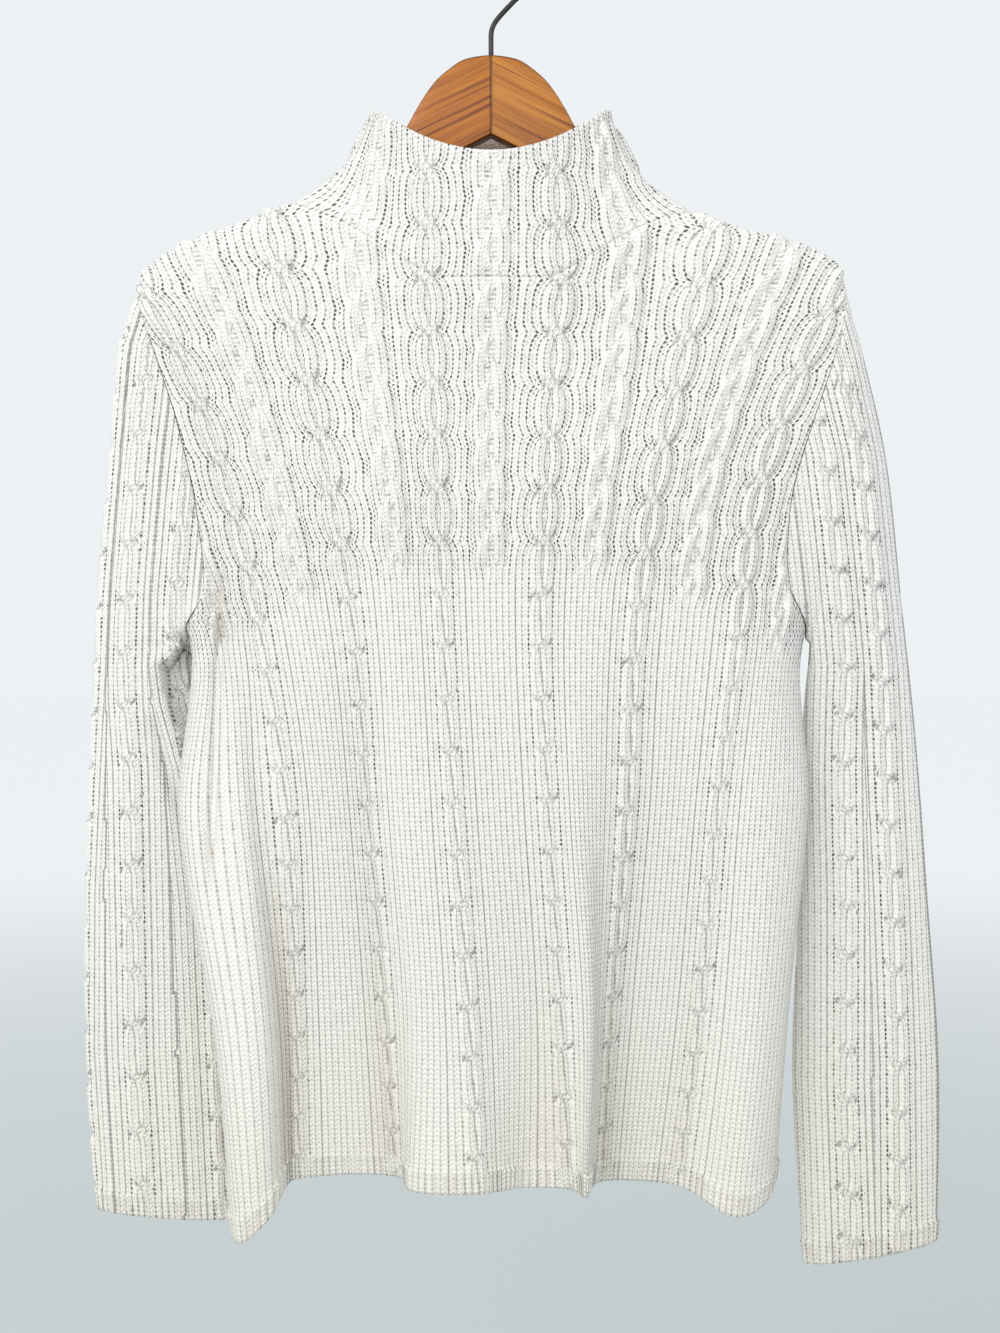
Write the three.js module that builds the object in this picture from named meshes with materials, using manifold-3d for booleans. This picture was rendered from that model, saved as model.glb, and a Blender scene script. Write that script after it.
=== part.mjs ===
// Cable knit sweater on a wooden hanger, in millimetres.
// Origin: where a rail touches the inside of the hook. +Z is up, the front faces -Y, +X is the viewer's right.
// In the tables f is the distance forward of the hanger's middle plane, so y = -f.
import * as THREE from "three";
import Module from "manifold-3d";

const wasm = await Module();
wasm.setup();

const WALL = 2.6; // cloth thickness without the cables
const GAP = 0.3; // between two sewn pieces
const SEAM_W = 7.6; // knit columns from the middle to a side seam; one column holds one cable or plait
const NECK_W = 2.8; // knit columns from the middle to a neck point
const ARMPIT_Z = -443;

// Heights of the sections in the two fold tables: hem, hip, waist, underarm, chest, yoke, neck.
const HEIGHTS = [-775, -668, -543, -443, -356, -275, -190];

// Front panel, a row per fold line or cable: its knit column w, then x and f at each height.
const FRONT = [
  { w: -7.6, x: [-154, -165, -189, -188, -242, -281, -340], f: [16, 14, 8, -2, -4, 0, 8] },
  { w: -7.1, x: [-157, -168, -191, -187, -226, -263, -320], f: [31, 27, 21, 9, 2, 4, 10] },
  { w: -6.5, x: [-148, -160, -181, -176, -207, -242, -297], f: [46, 41, 34, 19, 8, 8, 11] },
  { w: -5.8, x: [-130, -136, -151, -160, -185, -217, -269], f: [34, 35, 27, 18, 15, 16, 16] },
  { w: -5.0, x: [-118, -120, -125, -139, -159, -188, -237], f: [13, 16, 22, 26, 22, 19, 17] },
  { w: -4.0, x: [-88, -92, -99, -110, -128, -152, -186], f: [9, 14, 23, 32, 30, 22, 18] },
  { w: -3.0, x: [-58, -65, -75, -82, -96, -115, -136], f: [14, 18, 24, 34, 34, 24, 18] },
  { w: -2.1, x: [-46, -44, -52, -57, -64, -78, -88], f: [42, 38, 38, 40, 40, 25, 20] },
  { w: -1.0, x: [-7, -13, -22, -28, -32, -36, -42], f: [44, 42, 42, 42, 40, 27, 26] },
  { w: 0.3, x: [21, 22, 14, 9, 9, 10, 14], f: [28, 33, 38, 42, 42, 28, 28] },
  { w: 1.0, x: [48, 43, 35, 30, 33, 38, 46], f: [29, 35, 39, 42, 42, 27, 26] },
  { w: 1.75, x: [57, 60, 53, 51, 57, 67, 74], f: [44, 44, 44, 42, 41, 26, 21] },
  { w: 2.5, x: [62, 66, 69, 72, 81, 96, 108], f: [24, 30, 38, 40, 38, 24, 16] },
  { w: 3.0, x: [68, 74, 83, 87, 98, 116, 138], f: [13, 20, 30, 36, 36, 24, 18] },
  { w: 4.0, x: [90, 101, 111, 118, 129, 153, 186], f: [12, 17, 26, 32, 30, 22, 18] },
  { w: 5.0, x: [115, 128, 138, 150, 162, 191, 235], f: [18, 22, 28, 28, 24, 19, 17] },
  { w: 6.2, x: [146, 159, 169, 179, 199, 238, 283], f: [42, 38, 32, 22, 13, 15, 16] },
  { w: 7.0, x: [167, 178, 190, 192.4, 223, 268, 313], f: [31, 27, 20, 10, 6, 6, 10] },
  { w: 7.6, x: [176, 185, 198, 196.2, 241, 292, 335], f: [12, 10, 6, -2, 0, 2, 8] },
];

// Back panel, the same way. The end rows are the side seams of the front.
const BACK = [
  { w: -7.6, x: [-154, -165, -189, -188, -242, -281, -340], f: [16, 14, 8, -2, -4, -4, -8] },
  { w: -7.2, x: [-153, -164, -188, -188, -229, -267, -325], f: [4, 5, 3, -9, -6, -6, -9] },
  { w: -6.4, x: [-141, -152, -171, -175, -204, -240, -295], f: [-12, 0, 0, -17, -13, -14, -16] },
  { w: -5.0, x: [-112, -122, -134, -140, -159, -188, -237], f: [-30, -18, -15, -24, -19, -17, -17] },
  { w: -2.5, x: [-55, -58, -64, -68, -80, -96, -110], f: [-16, -18, -20, -23, -20, -18, -18] },
  { w: 0.0, x: [12, 10, 8, 6, 2, 2, 2], f: [-40, -34, -28, -25, -21, -20, -20] },
  { w: 2.5, x: [68, 70, 74, 76, 81, 96, 108], f: [-18, -20, -22, -23, -20, -18, -18] },
  { w: 5.0, x: [128, 134, 142, 148, 162, 191, 235], f: [-40, -34, -28, -24, -19, -17, -17] },
  { w: 6.6, x: [165, 172, 182, 186, 211, 253, 298], f: [-24, -21, -19, -17, -12, -14, -16] },
  { w: 7.2, x: [175, 183, 195, 195.2, 229, 275, 320], f: [-4, -5, -7, -10, -6, -6, -9] },
  { w: 7.6, x: [176, 185, 198, 196.2, 241, 292, 335], f: [12, 10, 6, -2, 0, -4, -8] },
];

// Top edge over the hanger, a row per knit column: the shoulder line on the left and on the right.
const SHOULDER = [
  { w: 2.8, left: -171.5, right: -177 },
  { w: 3.4, left: -183, right: -187 },
  { w: 4.2, left: -197, right: -196 },
  { w: 4.8, left: -212, right: -209 },
  { w: 5.15, left: -228, right: -227 },
];

// Armhole edge: q runs from the armpit (0) to the shoulder (1), w is the panel's half width in columns.
const ARMHOLE = [
  { q: 0, w: 7.6 },
  { q: 0.06, w: 6.85 },
  { q: 0.14, w: 6.2 },
  { q: 0.35, w: 5.8 },
  { q: 0.6, w: 5.6 },
  { q: 0.8, w: 5.45 },
  { q: 1, w: 5.15 },
];

// Hem height along the front and back, a row per knit column.
const HEM = [
  { w: -7.6, z: -800 },
  { w: -6.5, z: -804 },
  { w: -5.6, z: -782 },
  { w: -5, z: -776 },
  { w: -2, z: -775 },
  { w: 1.75, z: -778 },
  { w: 5, z: -779 },
  { w: 6.3, z: -790 },
  { w: 7.6, z: -778 },
];

// Sleeves, a row per section from armhole to cuff: its outer and inner end, middle f and half depth.
const SLEEVE_LEFT = [
  { v: 0, outX: -219, outZ: -228, inX: -188, inZ: -443, f: 0, depth: 12 },
  { v: 0.036, outX: -224, outZ: -243, inX: -191.4, inZ: -446.5, f: -1, depth: 14 },
  { v: 0.08, outX: -230, outZ: -262, inX: -191.6, inZ: -450, f: -2, depth: 17 },
  { v: 0.2, outX: -238, outZ: -330, inX: -191.5, inZ: -460, f: -6, depth: 19 },
  { v: 0.34, outX: -247, outZ: -418, inX: -189, inZ: -482, f: -12, depth: 17 },
  { v: 0.48, outX: -252, outZ: -502, inX: -178, inZ: -524, f: -16, depth: 14 },
  { v: 0.65, outX: -256, outZ: -602, inX: -168, inZ: -608, f: -17, depth: 13 },
  { v: 0.82, outX: -256, outZ: -703, inX: -163, inZ: -706, f: -17, depth: 13 },
  { v: 1, outX: -250, outZ: -804, inX: -158, inZ: -810, f: -17, depth: 12 },
];
const SLEEVE_RIGHT = [
  { v: 0, outX: 221, outZ: -227, inX: 196, inZ: -443, f: 0, depth: 12 },
  { v: 0.036, outX: 225, outZ: -243, inX: 199.6, inZ: -446.5, f: -1, depth: 14 },
  { v: 0.08, outX: 231, outZ: -262, inX: 199.6, inZ: -450, f: -2, depth: 17 },
  { v: 0.2, outX: 248, outZ: -330, inX: 199.5, inZ: -460, f: -6, depth: 19 },
  { v: 0.34, outX: 259, outZ: -418, inX: 198, inZ: -482, f: -11, depth: 17 },
  { v: 0.48, outX: 269, outZ: -502, inX: 196, inZ: -524, f: -15, depth: 14 },
  { v: 0.65, outX: 277, outZ: -608, inX: 195, inZ: -608, f: -15, depth: 14 },
  { v: 0.82, outX: 284, outZ: -712, inX: 191, inZ: -718, f: -15, depth: 14 },
  { v: 1, outX: 283, outZ: -823, inX: 198, inZ: -838, f: -15, depth: 13 },
];
// Sleeve cables round the flat tube: 0 is the outer fold, 1 the inner fold, 1 to 2 the back.
const SLEEVE_CABLES = [0.36, 0.89, 1.42, 1.95];

// Knit columns of the lines that panels and collar share along the neck edge, besides the cable lines.
const NECK_ENDS = [2.55, 2.7, 2.8];
const NECK_INSIDE = [0.2, 0.6, 1, 1.4, 1.8, 2.2, 2.5, 2.7, 2.8];

const clamp = (t) => Math.min(1, Math.max(0, t));
const smooth = (t) => clamp(t) ** 2 * (3 - 2 * clamp(t));
const mix = (a, b, t) => a + (b - a) * t;

// Cubic curve through the values v at the knots k, level with the end values outside them.
function curve(k, v, t) {
  const n = k.length;
  if (t <= k[0]) return v[0];
  if (t >= k[n - 1]) return v[n - 1];
  let i = 0;
  while (t > k[i + 1]) i++;
  const slope = (j) => (j <= 0 || j >= n - 1 ? 0 : (v[j + 1] - v[j - 1]) / (k[j + 1] - k[j - 1]));
  const h = k[i + 1] - k[i];
  const s = (t - k[i]) / h;
  const end = (v[i + 1] - v[i]) / h;
  const m0 = i === 0 ? end : slope(i);
  const m1 = i === n - 2 ? end : slope(i + 1);
  return (
    (2 * s ** 3 - 3 * s ** 2 + 1) * v[i] + (s ** 3 - 2 * s ** 2 + s) * h * m0 +
    (3 * s ** 2 - 2 * s ** 3) * v[i + 1] + (s ** 3 - s ** 2) * h * m1
  );
}
const column = (rows, name) => rows.map((r) => r[name]);
const across = (rows, key, name, t) => curve(column(rows, key), column(rows, name), t);

const UP = [...HEIGHTS];
const section = (rows, name, z) => rows.map((r) => curve(UP, r[name], z));
const halfWidth = (q) => across(ARMHOLE, "q", "w", q);

// The top edge of a panel at column w: its height and its f.
function topEdge(w, side) {
  const a = Math.abs(w);
  if (a >= NECK_W) return { z: across(SHOULDER, "w", w < 0 ? "left" : "right", a), f: 0 };
  const ends = mix(-171.5, -177, 0.5 + w / (2 * NECK_W));
  const round = Math.sqrt(1 - (a / NECK_W) ** 2);
  if (side > 0) return { z: mix(-223, ends, smooth((a - 0.6) / 2.2) * 0.35 + 0.65 * clamp((a - 0.9) / 1.9)), f: 28 * round };
  return { z: ends - 12 * (1 - (a / NECK_W) ** 2), f: -20 * round };
}

// A point of a panel's outer face: q below 0 is the body (-1 the hem), q above 0 the yoke (1 the top edge).
function panelPoint(rows, side, w, q) {
  const top = topEdge(w, side);
  const z = q < 0 ? mix(ARMPIT_Z, across(HEM, "w", "z", w), -q) : mix(ARMPIT_Z, top.z, q);
  const zt = q < 0 ? mix(ARMPIT_Z, HEIGHTS[0], -q) : z;
  const ws = column(rows, "w");
  const frontX = curve(column(FRONT, "w"), section(FRONT, "x", zt), w);
  const ownX = curve(ws, section(rows, "x", zt), w);
  const x = side > 0 ? ownX : mix(ownX, frontX, smooth((zt + 443) / 70));
  let f = curve(ws, section(rows, "f", zt), w);
  if (q > 0) {
    const d = top.z - z;
    const ridge = d < 20 ? Math.sqrt(Math.max(0, 1 - (1 - d / 20) ** 2)) : 1;
    const neck = smooth(d / 45);
    f = mix(top.f, f, mix(neck, ridge, smooth((Math.abs(w) - 1.7) / 1.1)));
  }
  return new THREE.Vector3(x, -f, z);
}

// Outward normal of a surface point(a, b) by small steps that stay inside the given limits.
function normalOf(point, a, b, aMin, aMax, bMin, bMax) {
  const e = 1e-3;
  const pa = point(Math.min(aMax, a + e), b).sub(point(Math.max(aMin, a - e), b));
  const pb = point(a, Math.min(bMax, b + e)).sub(point(a, Math.max(bMin, b - e)));
  return pa.cross(pb).normalize();
}

// Raised height of a simple cable at d half-widths off its line: narrow at a crossing, two strands between.
const ropeHeight = (d, crossing) => {
  const a = Math.abs(d);
  if (a >= 1) return 0;
  return crossing ? 2.8 * (1 - a) ** 0.8 : a < 0.5 ? mix(0.9, 2.3, a * 2) : mix(2.3, 0, a * 2 - 1);
};
// Raised height of a plait: its three strands come up on alternate sides.
const plaitHeight = (d, even) => {
  const a = Math.abs(d);
  if (a >= 1) return 0;
  const peak = (d < 0) === even ? 2.6 : 1.3;
  return a < 0.5 ? mix(1.5, peak, a * 2) : mix(peak, 0, a * 2 - 1);
};
const ROPE = 0.24; // half width of a simple cable in knit columns
const PLAIT = 0.37; // half width of a plait in knit columns

// Columns of a panel row: the edges, five lines on each cable or plait, and plain lines between.
function panelColumns(half, yoke, plain) {
  const w = [-half, half];
  for (const c of [-5, -3, -1, 1, 3, 5]) for (const k of [-1, -0.5, 0, 0.5, 1]) w.push(c + k * ROPE);
  if (yoke) {
    for (const c of [-4, -2, 0, 2, 4]) for (const k of [-1, -0.5, 0, 0.5, 1]) w.push(c + k * PLAIT);
    for (let c = -4.5; c < 5; c += 1) w.push(c + (Math.round(c * 2) % 4 === 1 || Math.round(c * 2) % 4 === -3 ? -0.065 : 0.065));
  } else {
    for (const c of [-4, -2, 0, 2, 4]) for (const k of plain) w.push(c + k);
  }
  if (half < 5.4) for (const k of NECK_ENDS) w.push(-k, k);
  for (const s of [-1, 1]) for (const k of half > 7 ? [5.6, 6.1, 6.6, 7.1] : half > 6.4 ? [5.6, 6.1] : []) w.push(s * k);
  return w.filter((v) => Math.abs(v) <= half + 1e-6 && (Math.abs(v) === half || half - Math.abs(v) > 0.06)).sort((a, b) => a - b);
}

// Relief of a panel at column w on row number i.
function panelRelief(w, q, i, half) {
  let h = 0;
  for (const c of [-5, -3, -1, 1, 3, 5]) h = Math.max(h, ropeHeight((w - c) / ROPE, (i + (c < 0 ? 0 : 1)) % 2 === 0));
  if (q > 0.13) {
    for (const c of [-4, -2, 0, 2, 4]) h = Math.max(h, plaitHeight((w - c) / PLAIT, i % 2 === 0) * smooth((q - 0.13) / 0.05));
    const r = Math.abs(w) % 1;
    if (Math.abs(r - 0.5) < 0.08) h = Math.max(h, 1.1);
  }
  const sideways = smooth(((half - Math.abs(w)) * 31) / 9);
  return h * sideways;
}

// One closed shell from outer and inner rows of { t, p }. A closed row is a ring round a tube.
function shell(name, outer, inner, ring, flip, material) {
  const points = [];
  const faces = [];
  const index = (rows) =>
    rows.map((row) => {
      const r = row.map((v) => ({ t: v.t, i: points.push(v.p) - 1 }));
      if (ring) r.push({ t: r[0].t + ring, i: r[0].i });
      return r;
    });
  const zip = (A, B, turn) => {
    let i = 0;
    let j = 0;
    while (i < A.length - 1 || j < B.length - 1) {
      const a = i < A.length - 1 ? A[i].t + A[i + 1].t : Infinity;
      const b = j < B.length - 1 ? B[j].t + B[j + 1].t : Infinity;
      const f = a <= b ? [A[i].i, A[i + 1].i, B[j].i] : [A[i].i, B[j + 1].i, B[j].i];
      if (a <= b) i++;
      else j++;
      faces.push(turn ? [f[0], f[2], f[1]] : f);
    }
  };
  const O = index(outer);
  const I = index(inner);
  for (let r = 0; r < O.length - 1; r++) zip(O[r], O[r + 1], false);
  for (let r = 0; r < I.length - 1; r++) zip(I[r], I[r + 1], true);
  zip(I[0], O[0], false);
  zip(O[O.length - 1], I[I.length - 1], false);
  if (!ring) {
    const side = (rows, src, last) => rows.map((r, k) => ({ t: src[k].v, i: (last ? r[r.length - 1] : r[0]).i }));
    zip(side(O, outer, false), side(I, inner, false), false);
    zip(side(I, inner, true), side(O, outer, true), false);
  }
  const g = new THREE.BufferGeometry();
  g.setAttribute("position", new THREE.Float32BufferAttribute(points.flatMap((p) => [p.x, p.y, p.z]), 3));
  g.setIndex(faces.flatMap((f) => (flip ? [f[0], f[2], f[1]] : f)));
  g.computeVertexNormals();
  const mesh = new THREE.Mesh(g, material);
  mesh.name = name;
  return mesh;
}

const knit = new THREE.MeshStandardMaterial({ color: new THREE.Color(0.93, 0.91, 0.86), roughness: 0.95, metalness: 0, side: THREE.DoubleSide });
const wood = new THREE.MeshStandardMaterial({ color: new THREE.Color(0.68, 0.4, 0.15), roughness: 0.35, metalness: 0 });
const steel = new THREE.MeshStandardMaterial({ color: new THREE.Color(0.12, 0.12, 0.13), roughness: 0.35, metalness: 0.9 });

// Outer and inner face of a panel at one place; the back takes its wall direction from the front at a shared seam.
function panelPair(side, w, q) {
  const rows = side > 0 ? FRONT : BACK;
  const half = q < 0 ? SEAM_W : halfWidth(q);
  const point = (a, b) => panelPoint(rows, side, a, b);
  let n = normalOf(point, w, q, -half, half, q < 0 ? -1 : -0.001, 1).multiplyScalar(side);
  const p = point(w, q);
  const corner = (1 - smooth(q / 0.1)) * smooth((q + 0.03) / 0.03) * smooth((Math.abs(w) - half + 0.5) / 0.5);
  if (corner > 0) n.lerp(new THREE.Vector3(0, 0, -1), corner).normalize();
  const onSeam = side < 0 && ((q <= 0 && Math.abs(w) > SEAM_W - 1e-6) || (q > 1 - 1e-6 && Math.abs(w) >= NECK_W - 1e-6));
  if (onSeam) {
    n = panelPair(1, w, q).n;
    p.y += GAP;
  }
  return { p, n };
}

function panel(name, side, rowStep, plain, innerStep) {
  const outer = [];
  const inner = [];
  const qs = [];
  const body = Math.round(332 / rowStep);
  const yoke = Math.round(200 / rowStep);
  for (let k = 0; k < body; k++) qs.push(-1 + k / body);
  for (let k = 0; k < yoke; k++) qs.push((k / yoke) * 0.91);
  qs.push(0.925, 0.955, 0.98, 0.995, 1);
  qs.forEach((q, i) => {
    const half = q < 0 ? SEAM_W : halfWidth(q);
    const fade = smooth(((1 - q) * 215) / 10) * smooth(((q + 1) * 332) / 16);
    const row = panelColumns(half, q > 0.13, plain).map((w) => {
      const { p, n } = panelPair(side, w, q);
      return { t: w, p: p.addScaledVector(n, panelRelief(w, q, i, half) * fade) };
    });
    row.v = q;
    outer.push(row);
    row.keep = i % 2 === 0 || q > 0.9 || (q > -0.05 && q < 0.2);
    if (!row.keep) return;
    const ws = [];
    const m = Math.round((2 * half) / innerStep);
    if (q > 0.9) {
      for (const k of [...NECK_INSIDE, 3.2, 3.7, 4.2, 4.7, half]) ws.push(-k, k);
      ws.sort((a, b) => a - b);
    } else for (let k = 0; k <= m; k++) ws.push(-half + (2 * half * k) / m);
    const back = ws.map((w) => {
      const { p, n } = panelPair(side, w, q);
      return { t: w, p: p.addScaledVector(n, -WALL) };
    });
    back.v = q;
    inner.push(back);
  });
  outer.forEach((r, k) => (r[0].v = r.v));
  const mesh = shell(name, outer, inner, 0, side < 0, knit);
  const up = (rows) => rows.map((r) => r.v).filter((q) => q >= 0);
  return { mesh, outer: up(outer), inner: up(inner) };
}

// The armhole edge of both panels as a ring: a from 0 at the shoulder, 1 at the armpit, on to 2 up the back.
const armholeQ = (a) => (1 + Math.cos(Math.PI * a)) / 2;
function armhole(sign, a) {
  const side = a <= 1 ? 1 : -1;
  const q = armholeQ(a);
  const pair = panelPair(side, sign * halfWidth(q), q);
  const inside = panelPair(side, sign * (halfWidth(q) - 0.05), q);
  const away = pair.p.clone().sub(inside.p).normalize();
  away.lerp(new THREE.Vector3(sign, 0, 0), 1 - smooth(q / 0.1));
  away.addScaledVector(pair.n, -away.dot(pair.n)).normalize();
  return { p: pair.p, n: pair.n, away };
}

function sleevePoint(rows, sign, a, v) {
  const at = (name) => across(rows, "v", name, v);
  const angle = Math.PI * a;
  const u = (1 - Math.cos(angle)) / 2;
  const p = new THREE.Vector3(
    mix(at("outX"), at("inX"), u),
    -(at("f") + at("depth") * Math.sin(angle)),
    mix(at("outZ"), at("inZ"), u),
  );
  const b = 1 - smooth(v / (0.06 + 0.18 * (1 - u)));
  if (b > 0) {
    const first = new THREE.Vector3(
      mix(rows[0].outX, rows[0].inX, u),
      -(rows[0].f + rows[0].depth * Math.sin(angle)),
      mix(rows[0].outZ, rows[0].inZ, u),
    );
    p.add(armhole(sign, a).p.sub(first).multiplyScalar(b));
  }
  return p;
}

// Position round a sleeve, 0 to 2, from the flat fraction of its width.
const roundSleeve = (p) => (p <= 1 ? Math.acos(1 - 2 * p) / Math.PI : 2 - Math.acos(1 - 2 * (2 - p)) / Math.PI);

function sleeve(name, rows, sign, edges) {
  const outer = [];
  const inner = [];
  const lines = [];
  for (const c of SLEEVE_CABLES) for (const k of [-1, -0.5, 0, 0.5, 1]) lines.push({ flat: (c + k * 0.085 + 2) % 2, d: k });
  for (const flat of [0.12, 0.2, 0.53, 0.62, 0.72, 1.06, 1.14, 1.24, 1.58, 1.68, 1.78]) lines.push({ flat, d: 1 });
  lines.forEach((l) => (l.a = roundSleeve(l.flat)));
  lines.sort((s, t) => s.a - t.a);
  const rings = 28;
  const seam = (list, lift) =>
    list.map((a) => {
      const e = armhole(sign, a);
      return { t: a, p: e.p.addScaledVector(e.away, GAP).addScaledVector(e.n, lift) };
    });
  outer.push(seam(edges.outer, 0));
  inner.push(seam(edges.inner, -WALL));
  for (let k = 1; k <= rings; k++) {
    const v = k / rings;
    const fade = smooth(v / 0.05) * smooth((1 - v) / 0.04);
    const place = (a, lift) => {
      const point = (s, t) => sleevePoint(rows, sign, (s + 2) % 2, t);
      const n = normalOf(point, a, v, -1, 3, 0, 1).multiplyScalar(-sign);
      return point(a, v).addScaledVector(n, lift);
    };
    outer.push(lines.map((l) => ({ t: l.a, p: place(l.a, ropeHeight(l.d, k % 2 === 0) * fade) })));
    if (k % 2 && k > 3) continue;
    const ring = [];
    for (let j = 0; j < 18; j++) ring.push({ t: j / 9, p: place(j / 9, -WALL) });
    inner.push(ring);
  }
  return shell(name, outer, inner, 2, sign > 0, knit);
}

// Neck edge of both panels as a ring: a from 0 at the left neck point over the front to 1, and back to 2.
function neckEdge(a) {
  const side = a <= 1 ? 1 : -1;
  const w = a <= 1 ? mix(-NECK_W, NECK_W, a) : mix(NECK_W, -NECK_W, a - 1);
  const pair = panelPair(side, w, 1);
  const away = pair.p.clone().sub(panelPair(side, w, 0.995).p).normalize();
  const point = smooth((Math.abs(w) - 2.4) / 0.3);
  away.lerp(new THREE.Vector3(-0.85 * Math.sign(w), 0, 0.52), point);
  away.addScaledVector(pair.n, -away.dot(pair.n)).setLength(1 + 0.6 * point);
  return { ...pair, away };
}

function collarPoint(a, s) {
  const base = neckEdge((a + 2) % 2).p;
  const angle = Math.PI * a;
  const sin = Math.sin(angle);
  const rise = sin > 0 ? -35 * sin ** 1.9 : -8 * sin ** 2;
  const top = new THREE.Vector3(-73 * Math.cos(angle), sin > 0 ? -34 * sin : -30 * sin, -113 + rise);
  const flare = 0.38 * (1 - s) ** 6 + 0.62 * (1 - s);
  return new THREE.Vector3(mix(top.x, base.x, flare), mix(base.y, top.y, s), mix(base.z, top.z, s));
}

function collar() {
  const outer = [];
  const inner = [];
  const lines = [];
  const plain = [];
  const place01 = (half, w) => half + 0.5 + ((half ? -1 : 1) * w) / (2 * NECK_W);
  for (const half of [0, 1]) {
    for (const w of panelColumns(5.15, true, [])) {
      if (Math.abs(w) > NECK_W || (half && Math.abs(w) === NECK_W)) continue;
      const c = Math.round(w);
      lines.push({ a: place01(half, w), d: (w - c) / (c % 2 ? ROPE : PLAIT), plait: c % 2 === 0, end: Math.abs(w) > 2.5 });
    }
    for (const k of NECK_INSIDE) for (const s of [-1, 1]) if (!(half && k === NECK_W)) plain.push(place01(half, s * k));
  }
  lines.sort((s, t) => s.a - t.a);
  plain.sort((s, t) => s - t);
  const steps = [0, 0.12, 0.32, 0.53, 0.75, 1];
  steps.forEach((s, k) => {
    const fade = smooth(s / 0.12) * smooth((1 - s) / 0.12) * 0.8;
    const place = (a, lift) => {
      const edge = neckEdge(a);
      if (s === 0) return edge.p.addScaledVector(edge.away, GAP).addScaledVector(edge.n, lift);
      const n = normalOf((x, y) => collarPoint((x + 2) % 2, y), a, s, -1, 3, 0, 1);
      n.lerp(edge.n, Math.max(0, 1 - s * 6)).normalize();
      return collarPoint(a, s).addScaledVector(n, lift);
    };
    outer.push(lines.map((l) => ({
      t: l.a,
      p: place(l.a, l.end ? 0 : (l.plait ? plaitHeight(l.d, k % 2 === 0) : ropeHeight(l.d, k % 2 === 0)) * fade),
    })));
    inner.push(plain.map((a) => ({ t: a, p: place(a, -WALL) })));
  });
  return shell("collar", outer, inner, 2, false, knit);
}

// three.js geometry to a solid and back, for the hanger's bore.
function solid(geometry) {
  const g = geometry.index ? geometry.toNonIndexed() : geometry;
  const pos = g.getAttribute("position").array;
  const keys = new Map();
  const verts = [];
  const tris = new Uint32Array(pos.length / 3);
  for (let i = 0; i < pos.length; i += 3) {
    const key = [0, 1, 2].map((k) => Math.round(pos[i + k] * 1000)).join();
    if (!keys.has(key)) {
      keys.set(key, verts.length / 3);
      verts.push(pos[i], pos[i + 1], pos[i + 2]);
    }
    tris[i / 3] = keys.get(key);
  }
  return new wasm.Manifold(new wasm.Mesh({ numProp: 3, vertProperties: new Float32Array(verts), triVerts: tris }));
}
function geometryOf(body) {
  const m = body.getMesh();
  const g = new THREE.BufferGeometry();
  g.setAttribute("position", new THREE.Float32BufferAttribute(Array.from(m.vertProperties), 3));
  g.setIndex(Array.from(m.triVerts));
  g.computeVertexNormals();
  return g;
}

// A hanger arm: top edge from the middle, under the collar and along the shoulder, a little below the cloth.
const ARM_TOP = [
  { x: 0.15, z: -79 }, { x: 18, z: -82 }, { x: 34, z: -94.5 }, { x: 46, z: -112 }, { x: 54, z: -126 },
  { x: 90, z: -165 }, { x: 116, z: -185 }, { x: 134, z: -191 },
];
const ARM_DEPTH = 50; // height of the wood at the middle
const ARM_END = 24; // and at its tip
const ARM_HALF = 203; // from the middle to the tip
const ARM_THICK = 10;

function arm(name, sign) {
  const top = ARM_TOP.map((p) => [p.x, p.z - (sign > 0 && p.x > 100 ? 3 : 0)]);
  const ridge = (x) => {
    for (let w = NECK_W; w < 5.15; w += 0.01) {
      const p = panelPoint(FRONT, 1, sign * w, 1);
      if (Math.abs(p.x) >= x) return p.z;
    }
    return -228;
  };
  for (const [x, below] of [[155, 3.5], [170, 3.7], [185, 4.3], [196, 4.9]]) top.push([x, ridge(x) - below]);
  const tipZ = ridge(ARM_HALF) - 4.9;
  const outline = new THREE.Shape();
  outline.moveTo(sign * 0.15, -79 - ARM_DEPTH);
  const under = [[60, -160], [120, -206], [170, -232], [194, tipZ - ARM_END]];
  for (const [x, z] of under) outline.lineTo(sign * x, z);
  outline.lineTo(sign * (ARM_HALF - 1), tipZ - ARM_END + 6);
  outline.lineTo(sign * ARM_HALF, tipZ - 6);
  for (const [x, z] of [...top].reverse()) outline.lineTo(sign * x, z);
  const bevel = 2.6;
  const g = new THREE.ExtrudeGeometry(outline, {
    depth: ARM_THICK - 2 * bevel, bevelEnabled: true, bevelSize: bevel, bevelOffset: -bevel, bevelThickness: bevel, bevelSegments: 2,
  });
  g.translate(0, 0, -(ARM_THICK - 2 * bevel) / 2);
  g.rotateX(Math.PI / 2);
  let body = solid(g);
  const square = new THREE.BoxGeometry(6, 30, 80);
  square.translate(-sign * (3 - 0.15), 0, -110);
  body = body.subtract(solid(square));
  const bore = new THREE.CylinderGeometry(1.9, 1.9, 40, 12);
  bore.rotateX(Math.PI / 2);
  bore.translate(0, 0, -89);
  body = body.subtract(solid(bore));
  const mesh = new THREE.Mesh(geometryOf(body), wood);
  mesh.name = name;
  return mesh;
}

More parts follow.
